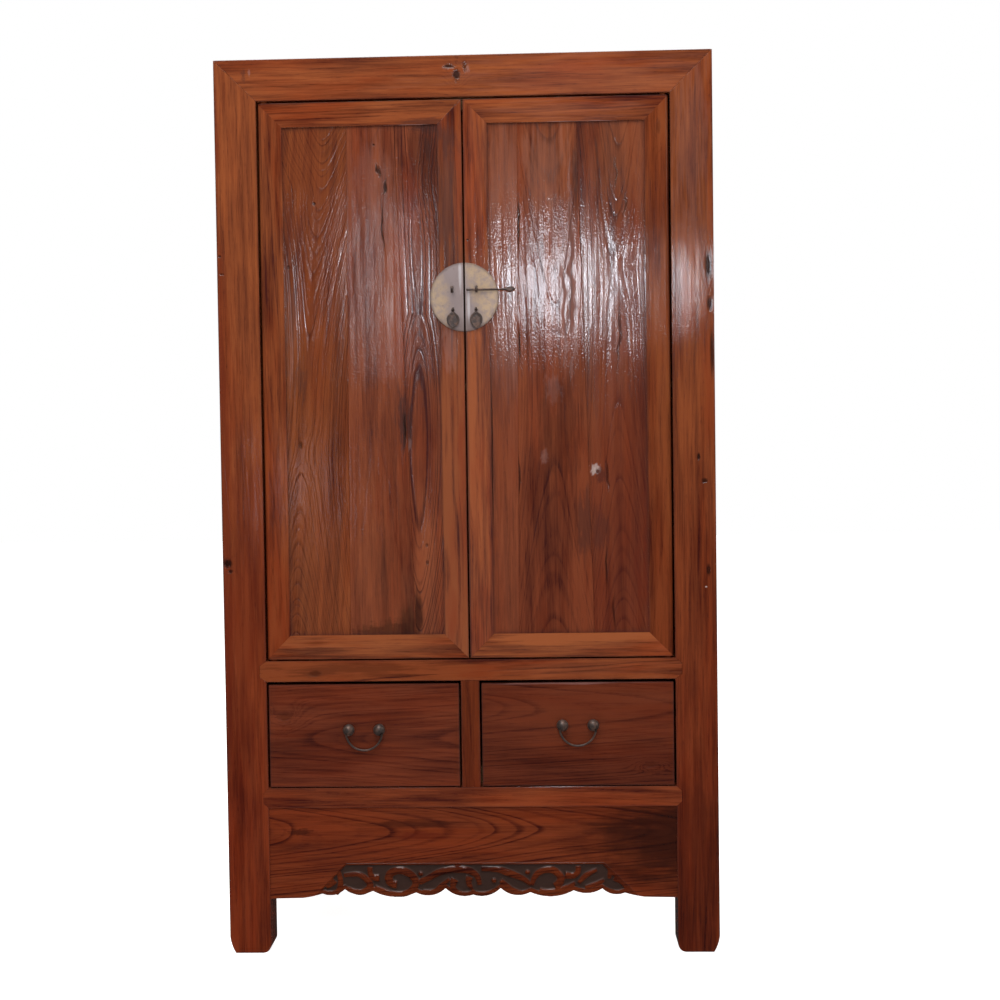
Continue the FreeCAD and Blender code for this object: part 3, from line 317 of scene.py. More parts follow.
def makeElmGroup():
    # growth rings round a wandering heart, with pores in the soft wood and fibres along Z
    tree, start, finish = newGroup("elmFigure", {
        "Vector": ["Grain", "Place"], "Color": ["Light", "Dark"],
        "Float": ["Ring Width", "Wander", "Taper", "Bow", "Level", "Hold", "Knot", "Rings", "Streaks",
                  "Carved", "Combed", "Gloss"]},
        {"Color": ["Color"], "Float": ["Roughness", "Height", "Shine"]})
    grain = start["Grain"]
    slow = grainNoise(tree, grain, 0.35, 3.3, 1.0, output="Color")
    quick = grainNoise(tree, grain, 0.25, 15, output="Color")
    bent = driftNode(tree, grain, slow, start["Wander"])
    parts = apart(tree, driftNode(tree, bent, quick, times(tree, start["Wander"], 0.16)))
    flat = tree.nodes.new("ShaderNodeCombineXYZ")
    feed(tree, flat.inputs[0], parts[0])
    feed(tree, flat.inputs[1], parts[1])
    radius = vectorNode(tree, "LENGTH", flat.outputs[0])
    radius = timesPlus(tree, parts[2], start["Taper"], radius)
    climb = sumNode(tree, "SUBTRACT", apart(tree, start["Place"])[2], start["Level"])
    climb = sumNode(tree, "MINIMUM", climb, start["Hold"])
    radius = timesPlus(tree, times(tree, climb, climb), start["Bow"], radius)
    radius = sumNode(tree, "ADD", radius, start["Knot"])
    years = sumNode(tree, "DIVIDE", radius, start["Ring Width"])
    spread = tree.nodes.new("ShaderNodeCombineXYZ")
    feed(tree, spread.inputs[0], years)
    uneven = noiseNode(tree, spread.outputs[0], 0.37, 1.0)
    ring = sumNode(tree, "FRACT", timesPlus(tree, uneven, 3.0, years))
    soft = sumNode(tree, "MAXIMUM", rangeNode(tree, ring, 0.42, 0.0), rangeNode(tree, ring, 0.86, 1.0))
    strong = noiseNode(tree, spread.outputs[0], 0.9, 0.0)  # some years show and some don't
    line = times(tree, soft, rangeNode(tree, strong, 0.3, 0.7, 0.15, 1.0))
    noise = {label: grainNoise(tree, start[follows], *texture)
             for label, (follows, *texture) in elmTextures.items()}
    pore = times(tree, rangeNode(tree, noise["pore"], 0.58, 0.68), timesPlus(tree, soft, 0.7, 0.3))
    depth = timesPlus(tree, line, start["Rings"], elmDepth["base"])
    depth = timesPlus(tree, offHalf(tree, noise["fibre"]), elmDepth["fibre"], depth)
    stripes = 0.0
    for label, weight in elmStripes.items():
        stripes = timesPlus(tree, offHalf(tree, noise[label]), weight, stripes)
    depth = timesPlus(tree, stripes, start["Streaks"], depth)
    depth = timesPlus(tree, pore, elmDepth["pore"], depth, clamp=True)
    colour = mixNode(tree, depth, start["Light"], start["Dark"])
    flame = times(tree, rangeNode(tree, noise["flame"], 0.42, 0.66), start["Streaks"])
    flame = times(tree, flame, elmDepth["flame"])
    feed(tree, finish["Color"], mixNode(tree, flame, colour, flameTint, "MULTIPLY"))
    # the lacquer pools in the soft wood and is thin on the hard ridges
    rough = timesPlus(tree, noise["cloud"], 0.07, start["Gloss"])
    feed(tree, finish["Roughness"], timesPlus(tree, pore, 0.10, rough))
    height = times(tree, line, times(tree, start["Carved"], elmRelief["line"]))
    height = timesPlus(tree, noise["comb"], start["Combed"], height)
    for label in ("fibre", "peel", "broad", "warp", "dent", "speck"):
        height = timesPlus(tree, noise[label], elmRelief[label], height)
    feed(tree, finish["Height"], height)
    shine = sumNode(tree, "ADD", times(tree, noise["comb"], 0.5), times(tree, noise["speck"], 0.5))
    feed(tree, finish["Shine"], rangeNode(tree, shine, 0.40, 0.62, 0.05, 1.0))
    return tree


groups = {"spot": makeSpotGroup(), "border": makeBorderGroup(), "elm": makeElmGroup()}


def useGroup(tree, name, **values):
    node = tree.nodes.new("ShaderNodeGroup")
    node.node_tree = groups[name]
    return fill(tree, node, **values)


# The frame's lacquered elm, the door panels' and drawers' elm, and the bare elm inside
finishes = {
    "lacquer": {"light": (0.274, 0.0725, 0.0231), "dark": (0.0565, 0.0116, 0.0081), "specular": 0.32,
                "depth": 0.00020, "gloss": 0.035, "shine": 0.18, "haze": 0.19},
    "panel": {"light": (0.222, 0.0580, 0.0240), "dark": (0.051, 0.0123, 0.0095), "specular": 0.5,
              "depth": 0.00020, "gloss": 0.035, "shine": 0.42, "haze": 0.17},
    "bare": {"light": (0.45, 0.275, 0.143), "dark": (0.20, 0.108, 0.055), "specular": 0.15,
             "depth": 0.00012, "gloss": 0.55},
}
fadeToFloor = {"low": 0.1, "high": 1.5, "tint": (0.69, 0.43, 0.40)}
# the marks' colours; the grime tone is grime and also painted shade, the bloom tone is lacquer bloom and also
# painted highlights and painted reflection haze
markTones = {
    "dark": (0.016, 0.006, 0.004), "grime_and_shade": (0.048, 0.0195, 0.0165), "red": (0.13, 0.022, 0.009),
    "stain": (0.036, 0.010, 0.006), "soot": (0.026, 0.0085, 0.0055), "bloom_and_sheen": (0.27, 0.145, 0.125),
    "pale": (0.52, 0.19, 0.08), "white": (0.75, 0.70, 0.66),
}

# The front's boards. grain is the way the fibres run; heart is how far the heart of the tree
# lies across the board and behind its face; ring is the width of a year; rings and streaks are
# how strongly both show; bow and level bend the rings into arches that turn over at that height;
# marks are places on it: what, x, z, half its width, half its height, how strong, how far it sways.
frontBoards = {
    "front_left_post": dict(
        grain="z", heart=(0.16, 0.05), ring=0.011, rings=0.10, streaks=0.85, tone=0.91,
        marks=[
            ("red", -0.51, 0.9, 0.018, 0.9, 0.55), ("red", -0.470, 0.76, 0.12, 0.46, 0.38),
            ("knot", -0.505, 0.825, 0.015, 0.013, 0.95), ("dark", -0.499, 0.808, 0.007, 0.006, 0.8),
            ("dark", -0.509, 1.465, 0.004, 0.004, 0.7), ("dark", -0.505, 1.428, 0.006, 0.003, 0.6)]),
    "front_right_post": dict(
        grain="z", heart=(-0.11, 0.06), ring=0.009, rings=0.16, streaks=0.85, tone=0.83,
        relief=0.6, specular=0.5, combed=0.6, shine=0.1,
        marks=[
            ("knot", 0.505, 1.43, 0.010, 0.045, 0.95), ("dark", 0.506, 1.35, 0.008, 0.02, 0.9),
            ("dark", 0.510, 1.25, 0.006, 0.07, 0.8), ("dark", 0.480, 1.035, 0.005, 0.010, 0.9),
            ("dark", 0.492, 0.985, 0.009, 0.008, 0.8), ("dark", 0.498, 0.80, 0.006, 0.016, 0.85),
            ("white", 0.493, 0.765, 0.003, 0.002, 0.7), ("stain", 0.475, 0.2, 0.08, 0.28, 0.35),
            # painted highlight and painted reflection: the narrow pale mark sits in the post's highlight, the
            # broad faint one above it is a lilac haze
            ("bloom_and_sheen", 0.452, 1.38, 0.016, 0.10, 0.25), ("bloom_and_sheen", 0.47, 1.68, 0.05, 0.26, 0.14)]),
    "front_top_rail": dict(
        grain="x", heart=(0.13, 0.05), ring=0.010, rings=0.20, streaks=0.9, tone=0.93,
        marks=[
            ("knot", -0.010, 1.829, 0.010, 0.019, 0.95), ("crack", -0.026, 1.846, 0.017, 0.006, 0.9, 0.01),
            # the broad faint pale mark over the right half is a painted reflection haze
            ("crack", 0.008, 1.844, 0.007, 0.012, 0.7, 0.01), ("bloom_and_sheen", 0.25, 1.82, 0.34, 0.07, 0.08),
            ("bloom_and_sheen", 0.014, 1.842, 0.006, 0.010, 0.6), ("grime_and_shade", -0.452, 1.838, 0.006, 0.020, 0.45),
            ("bloom_and_sheen", -0.44, 1.842, 0.003, 0.012, 0.4)]),
    "front_middle_rail": dict(
        grain="x", heart=(0.05, 0.06), ring=0.007, rings=0.5, streaks=1.3, tone=0.83,
        fade=0.6,
        marks=[
            ("knot", -0.325, 0.592, 0.016, 0.008, 0.5), ("stain", -0.24, 0.60, 0.24, 0.02, 0.42, 0.01),
            ("pale", 0.24, 0.596, 0.26, 0.03, 0.12)]),
    "front_lower_rail": dict(
        grain="x", heart=(-0.06, 0.08), ring=0.008, rings=0.2, streaks=0.8, tone=1.0,
        fade=0.6),
    "drawer_divider": dict(
        grain="z", heart=(0.05, 0.05), ring=0.007, rings=0.2, streaks=0.7, tone=0.63),
    "left_door_hinge_stile": dict(
        grain="z", heart=(0.03, 0.03), ring=0.007, rings=0.16, streaks=1.0, tone=0.87,
        specular=0.14),
    "left_door_meeting_stile": dict(
        grain="z", heart=(0.018, 0.012), ring=0.0065, rings=0.55, streaks=1.2, tone=0.79,
        fade=0.0, bow=0.24, level=0.83, hold=0.13, taper=0.0, wander=0.03, specular=0.4,
        marks=[
            ("grime_and_shade", -0.036, 1.55, 0.02, 0.22, 0.6), ("grime_and_shade", -0.03, 1.70, 0.03, 0.05, 0.5),
            # the small pale mark at 1.27 is a painted glint on the stile
            ("bloom_and_sheen", -0.03, 1.27, 0.02, 0.06, 0.3), ("bloom_and_sheen", -0.03, 1.0, 0.15, 1.1, 0.06)]),
    "left_door_rails": dict(
        grain="x", heart=(0.08, 0.05), ring=0.008, rings=0.22, streaks=1.2, tone=0.86,
        specular=0.35, fade=0.0,
        marks=[
            # the thin pale line along the rail's lower edge is a painted highlight, the edge catching the
            # light
            ("grime_and_shade", -0.07, 1.735, 0.06, 0.014, 0.5), ("bloom_and_sheen", -0.10, 1.7285, 0.06, 0.0016, 0.9),
            ("pale", -0.22, 0.645, 0.3, 0.06, 0.07)]),
    "right_door_hinge_stile": dict(
        grain="z", heart=(-0.03, 0.05), ring=0.006, rings=0.12, streaks=0.8, tone=0.73,
        specular=0.14,
        marks=[("knot", 0.404, 1.715, 0.006, 0.02, 0.3)]),
    "right_door_meeting_stile": dict(
        grain="z", heart=(0.05, 0.05), ring=0.008, rings=0.16, streaks=1.1, tone=0.97,
        fade=0.0, specular=0.3,
        marks=[
            ("dark", 0.008, 1.49, 0.0035, 0.0035, 0.95), ("grime_and_shade", 0.003, 1.2, 0.003, 0.6, 0.4),
            ("bloom_and_sheen", 0.03, 1.0, 0.15, 1.1, 0.06)]),
    "right_door_rails": dict(
        grain="x", heart=(0.07, 0.05), ring=0.009, rings=0.22, streaks=1.1, tone=0.95,
        specular=0.35, fade=0.0,
        marks=[
            # a painted highlight along the rail's lower edge, and above it a faint painted reflection haze
            ("bloom_and_sheen", 0.21, 1.7285, 0.13, 0.0016, 0.9), ("bloom_and_sheen", 0.21, 1.755, 0.2, 0.03, 0.08),
            ("pale", 0.21, 0.645, 0.3, 0.06, 0.07)]),
    "left_drawer_front": dict(
        grain="x", heart=(0.01, 0.05), ring=0.006, rings=0.38, streaks=0.7, tone=0.80,
        fade=0.7, finish="panel", specular=0.32, shine=0.3, wander=0.06, taper=0.05,
        edge=0.5,
        marks=[("knot", -0.392, 0.50, 0.022, 0.016, 0.35)]),
    "right_drawer_front": dict(
        grain="x", heart=(-0.06, 0.05), ring=0.007, rings=0.40, streaks=0.6, tone=0.71,
        fade=0.7, finish="panel", specular=0.32, shine=0.3, wander=0.05, taper=-0.06,
        edge=0.5,
        marks=[
            # the thin pale line along the drawer's top edge is a painted highlight
            ("knot", 0.375, 0.395, 0.02, 0.008, 0.3), ("bloom_and_sheen", 0.22, 0.5665, 0.19, 0.0028, 0.8)]),
}
hiddenBoards = {
    ("left_top_rail", "right_top_rail", "left_middle_rail", "right_middle_rail", "left_lower_rail",
     "right_lower_rail", "left_apron", "right_apron"): ("lacquer", "y"),
    ("rear_top_rail", "rear_middle_rail", "rear_lower_rail", "top_panel"): ("lacquer", "x"),
    ("rear_left_post", "rear_right_post", "left_upper_panel", "left_lower_panel", "right_upper_panel",
     "right_lower_panel"): ("lacquer", "z"),
    ("shelf", "compartment_floor", "door_stop", "left_door_battens", "right_door_battens",
     "rear_lower_panel", "left_drawer_bottom", "right_drawer_bottom"): ("bare", "x"),
    ("top_panel_battens", "shelf_bearers", "drawer_runners", "left_drawer_box", "right_drawer_box"):
        ("bare", "y"),
    ("rear_upper_panel",): ("bare", "z"),
}
hiddenFigure = {"heart": (0.04, 0.07), "ring": 0.007, "rings": 0.3, "streaks": 0.7, "tone": 0.9}
hiddenSheen = {"lacquer": {"relief": 0.5, "shine": 0.04, "gloss": 0.2}, "bare": {}}
turns = {"x": (0, math.pi / 2, 0), "y": (math.pi / 2, 0, 0), "z": (0, 0, 0)}
# what a board has where its own line doesn't say
usualBoard = {"marks": [], "lean": 0.0, "tone": 1.0, "wander": 0.04, "taper": 0.03, "bow": 0.0, "level": 0.0,
              "hold": 9.0, "carved": 0.4, "combed": 1.1, "fade": 1.0, "edge": 0.35, "grimeAndShadeWidth": 0.004,
              "relief": 1.0}
# where a mark lies, how deep it goes, how far it bends the rings round it, how ragged its edge is
markFace = -0.25
markDeep = {"swirl": 0.05, "usual": 0.03}
push = {"knot": 0.03, "swirl": 0.012}
raggedness = {"knot": 0.7, "dark": 0.5, "crack": 0.9, "swirl": 0.5, "white": 1.8, "soot": 0.7, "usual": 1.6}
dentDepth = 4.0
lacquerIor = 1.52
boardsApart = 3.7  # the boards are cut this far apart along the tree


def elmMaterial(name, spec, box, seed, finish="lacquer"):
    spec = {**usualBoard, **finishes[spec.get("finish", finish)], **spec}
    made, tree, shader, place = newMaterial(name)
    low, high = box
    middle, half = (low + high) / 2, (high - low) / 2
    across, behind = spec["heart"]
    along = seed * boardsApart
    lean = spec["lean"]
    if lean:
        across -= spec["level"] * math.sin(lean)
    shift = {"z": (across - middle.x, -behind - middle.y, along),
             "x": (across - middle.z, -behind - middle.y, along),
             "y": (across - middle.x, behind + middle.z, along)}[spec["grain"]]
    turn = tree.nodes.new("ShaderNodeMapping")
    grain = fill(tree, turn, Vector=place, Location=shift,
                 Rotation=(0, lean, 0) if lean else turns[spec["grain"]])[0]
    knot, dents, dull, marks = 0.0, 0.0, 0.0, []
    for kind, x, z, wide, tall, strength, *sway in spec["marks"]:
        size = (wide, markDeep.get(kind, markDeep["usual"]), tall)
        spot = useGroup(tree, "spot", Place=place, Centre=(x, markFace, z), Size=size,
                        Sway=sway[0] if sway else 0.0, Grain=grain,
                        Ragged=raggedness.get(kind, raggedness["usual"]))
        if kind == "dull":
            dull = timesPlus(tree, spot["Mask"], strength, dull)
        elif kind != "swirl":
            marks.append((spot["Mask"], strength, markTones.get(kind, markTones["dark"])))
        if kind in push:
            knot = timesPlus(tree, spot["Near"], push[kind], knot)
        if kind in ("knot", "dark", "crack"):
            dents = sumNode(tree, "MAXIMUM", spot["Mask"], dents)
    light, dark = [(*(value * spec["tone"] for value in spec[one]), 1) for one in ("light", "dark")]
    figure = {label.title(): spec[label] for label in (
        "wander", "taper", "bow", "level", "hold", "rings", "streaks", "carved", "combed", "gloss")}
    elm = useGroup(tree, "elm", Grain=grain, Place=place, Ring_Width=spec["ring"], Knot=knot, Light=light,
                   Dark=dark, **figure)
    colour = elm["Color"]
    for mask, strength, shade in marks:
        colour = tinted(tree, colour, mask, strength, shade)
    if finish != "bare":
        above = apart(tree, place)[2]
        fade = rangeNode(tree, above, fadeToFloor["high"], fadeToFloor["low"], 0.0, spec["fade"])
        colour = mixNode(tree, fade, colour, (*fadeToFloor["tint"], 1), "MULTIPLY")
    # the board's edges darkened: partly grime and partly painted shade, broadest round the recessed panel
    # planks
    rim = useGroup(tree, "border", Place=place, Centre=middle, Half=half, Width=spec["grimeAndShadeWidth"])
    colour = tinted(tree, colour, rim["Mask"], spec["edge"], markTones["grime_and_shade"])
    rough = sumNode(tree, "ADD", elm["Roughness"], dull) if dull else elm["Roughness"]
    fill(tree, shader, Base_Color=colour, Roughness=rough, IOR=lacquerIor,
         Specular_IOR_Level=spec["specular"])
    if finish != "bare":
        shine = times(tree, elm["Shine"], spec["shine"])
        for mask in (dull, dents):
            if mask:
                shine = times(tree, shine, sumNode(tree, "SUBTRACT", 1.0, mask, clamp=True))
        fill(tree, shader, Coat_Weight=shine, Coat_Roughness=spec["haze"])
    height = timesPlus(tree, dents, -dentDepth, elm["Height"]) if dents else elm["Height"]
    addBump(tree, shader, height, spec["depth"] * spec["relief"])
    return made


oneSpot = 0.00001  # points this close are one


def boardShape(node):
    shape = bmesh.new()
    shape.from_mesh(frame["nodes"][node].data)
    bmesh.ops.remove_doubles(shape, verts=shape.verts, dist=oneSpot)
    bmesh.ops.dissolve_limit(shape, angle_limit=math.radians(2), verts=shape.verts, edges=shape.edges)
    return shape


def keepSide(shape, point, normal):
    # cuts the shape by a plane, keeps what lies behind the plane and closes it
    cut = bmesh.ops.bisect_plane(shape, geom=shape.verts[:] + shape.edges[:] + shape.faces[:], dist=0.000001,
                                 plane_co=point, plane_no=normal, clear_outer=True)
    rim = [item for item in cut["geom_cut"] if isinstance(item, bmesh.types.BMEdge)]
    bmesh.ops.holes_fill(shape, edges=rim, sides=0)


def easeEdges(shape, width, segments=2, least=25):
    sharp = [edge for edge in shape.edges
             if len(edge.link_faces) == 2 and edge.calc_face_angle(0) > math.radians(least)
             and edge.calc_length() > width * 3]
    bmesh.ops.bevel(shape, geom=sharp, offset=width, offset_type="OFFSET", affect="EDGES",
                    segments=segments, profile=0.5, material=-1, clamp_overlap=True)


bodyOf = {node: body for body, members in frame["record"]["behaviour"]["bodies"].items() for node in members}
slotOf = {one["node"]: one["material_slot"] for one in frame["record"]["subparts"]}


def dress(piece, node, material):
    piece.data.materials.clear()
    piece.data.materials.append(material)
    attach(piece, bodyOf[node])
    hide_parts(node)


edgeWear = {"board": 0.0012, "plank": 0.0007, "apron": 0.0010, "plate": 0.0004, "leaf": 0.0002}


def wornBoard(node, width=edgeWear["board"]):
    shape = boardShape(node)
    easeEdges(shape, width)
    return makePiece(f"{node}_worn", shape)


seeds = {"front": 1, "hidden": 41, "planks": 21}  # the first board's place in the tree, for each kind
for seed, (node, spec) in enumerate(frontBoards.items(), start=seeds["front"]):
    dress(wornBoard(node), node, elmMaterial(f"elm_{node}", spec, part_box(node), seed))
hidden = [(node, *kind) for nodes, kind in hiddenBoards.items() for node in nodes]
for seed, (node, finish, grain) in enumerate(hidden, start=seeds["hidden"]):
    spec = {**hiddenFigure, **hiddenSheen[finish], "grain": grain}
    dress(wornBoard(node), node, elmMaterial(f"elm_{node}", spec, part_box(node), seed, finish))
print("boards dressed:", len(frontBoards) + len(hidden))

# The door panels' planks, left to right. cuts are the joint's x at the panel's foot and head.
panelPlanks = {
    "left_door_panel": {
        "cuts": [(-0.2495, -0.2410), (-0.1110, -0.1420)], "fade": 0.25,
        "planks": [dict(
            heart=(0.118, 0.012), lean=-0.07, ring=0.0056, rings=0.36, streaks=0.6, tone=0.72,
            finish="lacquer", specular=0.40, shine=0.12, carved=2.7, bow=-0.30, level=1.18, taper=0.0,
            wander=0.045, combed=0.7,
            marks=[
                ("dark", -0.3103, 1.571, 0.0048, 0.0048, 1.0), ("swirl", -0.338, 1.615, 0.020, 0.028, 0.3),
                ("dark", -0.366, 1.44, 0.004, 0.006, 0.8), ("grime_and_shade", -0.365, 1.50, 0.03, 0.12, 0.35),
                ("swirl", -0.325, 1.05, 0.018, 0.03, 0.3), ("grime_and_shade", -0.345, 1.20, 0.02, 0.05, 0.4),
                ("dark", -0.347, 1.07, 0.005, 0.010, 0.6), ("red", -0.32, 1.56, 0.12, 0.34, 0.22),
                ("dull", -0.364, 1.33, 0.016, 0.18, 0.25, 0.01), ("pale", -0.32, 0.78, 0.10, 0.26, 0.07)]
        ), dict(
            heart=(-0.02, 0.11), ring=0.0065, rings=0.12, streaks=0.7, tone=0.88, wander=0.05, bow=-0.05,
            level=1.0, combed=1.4, specular=0.37, shine=0.13,
            marks=[
                ("bloom_and_sheen", -0.19, 1.62, 0.05, 0.13, 0.12),
                ("crack", -0.176, 1.632, 0.007, 0.022, 0.9, 0.03),
                ("crack", -0.160, 1.600, 0.004, 0.022, 0.9, 0.03),
                ("crack", -0.167, 1.52, 0.0022, 0.06, 0.9, 0.02),
                ("dark", -0.184, 1.69, 0.003, 0.004, 0.8),
                ("grime_and_shade", -0.133, 1.12, 0.018, 0.085, 0.85, 0.01),
                ("crack", -0.129, 1.10, 0.005, 0.05, 0.9, 0.01),
                # a painted highlight along the joint with the next plank
                ("bloom_and_sheen", -0.155, 1.33, 0.009, 0.09, 0.45, 0.01),
                # these two marks darken the panel along its foot, next to the bottom rail
                ("stain", -0.165, 0.678, 0.12, 0.030, 0.8), ("soot", -0.128, 0.70, 0.028, 0.05, 0.7),
                ("pale", -0.19, 0.80, 0.10, 0.26, 0.07)]
        ), dict(
            heart=(-0.1134, 0.010), ring=0.0050, rings=0.85, streaks=0.65, tone=0.96, carved=2.6, bow=0.32,
            level=1.08, hold=0.26, shine=0.3, taper=0.0, wander=0.035, combed=0.8,
            marks=[
                ("grime_and_shade", -0.119, 1.11, 0.010, 0.06, 0.8, 0.01),
                ("bloom_and_sheen", -0.119, 1.07, 0.004, 0.016, 0.35, 0.01),
                ("grime_and_shade", -0.070, 1.722, 0.045, 0.016, 0.7),
                ("grime_and_shade", -0.072, 1.685, 0.012, 0.035, 0.7, 0.02),
                ("swirl", -0.070, 1.62, 0.02, 0.05, 0.3), ("red", -0.11, 1.60, 0.03, 0.12, 0.6),
                ("stain", -0.08, 1.66, 0.06, 0.12, 0.45, 0.02), ("pale", -0.085, 0.80, 0.06, 0.26, 0.07),
                ("dark", -0.086, 0.858, 0.004, 0.006, 0.6), ("dark", -0.086, 0.822, 0.004, 0.006, 0.6),
                # this mark darkens the panel along its foot, next to the bottom rail
                ("soot", -0.106, 0.715, 0.014, 0.07, 0.8, 0.01)]
        )]},
    "right_door_panel": {
        "cuts": [(0.1040, 0.1140), (0.2620, 0.2350)], "fade": 0.6,
        "planks": [dict(
            heart=(0.20, 0.08), ring=0.007, rings=0.10, streaks=0.65, tone=0.88, shine=0.6,
            marks=[
                # the faint pale mark at the top is a painted reflection haze
                ("bloom_and_sheen", 0.085, 1.62, 0.05, 0.16, 0.10), ("crack", 0.053, 1.05, 0.002, 0.17, 0.9, 0.004),
                ("bloom_and_sheen", 0.09, 1.30, 0.05, 0.16, 0.1), ("pale", 0.08, 0.78, 0.08, 0.26, 0.06),
                ("pale", 0.08, 1.66, 0.08, 0.16, 0.06)]
        ), dict(
            heart=(0.030, 0.05), ring=0.006, rings=0.30, streaks=0.8, tone=0.84, carved=0.8, combed=1.7,
            shine=0.09, specular=0.30, bow=-0.14, level=1.22, taper=0.0, wander=0.03,
            marks=[
                # the faint pale mark at the top is a painted reflection haze
                ("bloom_and_sheen", 0.165, 1.62, 0.06, 0.16, 0.14), ("crack", 0.114, 1.52, 0.0035, 0.07, 0.9, 0.01),
                ("crack", 0.113, 1.27, 0.003, 0.05, 0.9, 0.01),
                ("crack", 0.1085, 1.00, 0.003, 0.06, 0.8, 0.01),
                ("grime_and_shade", 0.236, 1.63, 0.014, 0.09, 0.75, 0.02),
                # the pale marks at 1.18 and 1.04 are painted lilac glints
                ("crack", 0.243, 1.49, 0.004, 0.04, 0.9, 0.01), ("bloom_and_sheen", 0.182, 1.18, 0.022, 0.04, 0.25),
                ("bloom_and_sheen", 0.16, 1.04, 0.012, 0.02, 0.35), ("swirl", 0.185, 1.25, 0.016, 0.03, 0.3),
                ("pale", 0.17, 1.66, 0.08, 0.16, 0.09), ("dull", 0.222, 1.44, 0.008, 0.25, 0.4, 0.03),
                ("dull", 0.206, 1.34, 0.005, 0.16, 0.3, 0.03),
                ("stain", 0.19, 1.10, 0.06, 0.14, 0.35, 0.02),
                ("grime_and_shade", 0.245, 0.90, 0.026, 0.09, 0.55, 0.03)]
        ), dict(
            heart=(-0.107, 0.02), ring=0.0060, rings=0.36, streaks=0.8, tone=0.79, carved=1.8, bow=-0.16,
            level=1.30, taper=0.0, wander=0.05,
            marks=[
                ("swirl", 0.325, 1.44, 0.022, 0.05, 0.3), ("crack", 0.31, 1.62, 0.003, 0.04, 0.6, 0.04),
                ("crack", 0.335, 1.56, 0.004, 0.03, 0.6, 0.04),
                ("crack", 0.318, 1.29, 0.0045, 0.09, 0.95, 0.02),
                ("white", 0.268, 1.012, 0.013, 0.014, 0.5, 0.012),
                ("dark", 0.272, 1.006, 0.006, 0.006, 0.8, 0.01), ("grime_and_shade", 0.278, 1.00, 0.014, 0.022, 0.7),
                ("crack", 0.292, 1.00, 0.004, 0.045, 0.95, 0.02),
                ("grime_and_shade", 0.275, 0.885, 0.02, 0.06, 0.5, 0.03),
                ("crack", 0.286, 0.81, 0.0035, 0.06, 0.9, 0.02),
                ("crack", 0.303, 0.71, 0.0035, 0.05, 0.9, 0.02), ("red", 0.372, 0.82, 0.03, 0.17, 0.6),
                ("red", 0.33, 1.0, 0.11, 0.65, 0.35), ("pale", 0.31, 1.68, 0.08, 0.14, 0.07)]
        )]},
}


def plankPiece(node, number, leftCut, rightCut):
    shape = boardShape(node)
    low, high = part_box(node)
    for cut, side in ((leftCut, -1), (rightCut, 1)):
        if cut is None:
            continue
        foot = Vector((cut[0], 0, low.z))
        head = Vector((cut[1], 0, high.z))
        rise = head - foot
        keepSide(shape, foot, Vector((rise.z, 0, -rise.x)).normalized() * side)
    easeEdges(shape, edgeWear["plank"])
    return makePiece(f"{node}_plank_{number}", shape)


for seed, (node, work) in enumerate(panelPlanks.items(), start=seeds["planks"]):
    joints = [None, *work["cuts"], None]
    for number, spec in enumerate(work["planks"], start=1):
        spec = {**spec, "fade": work["fade"], "grain": "z", "relief": 1.5, "edge": 0.55, "grimeAndShadeWidth": 0.020}
        plank = plankPiece(node, number, joints[number - 1], joints[number])
        made = elmMaterial(f"elm_{node}_{number}", spec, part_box(node), seed + 5 * number, "panel")
        dress(plank, node, made)
print("door planks fitted")


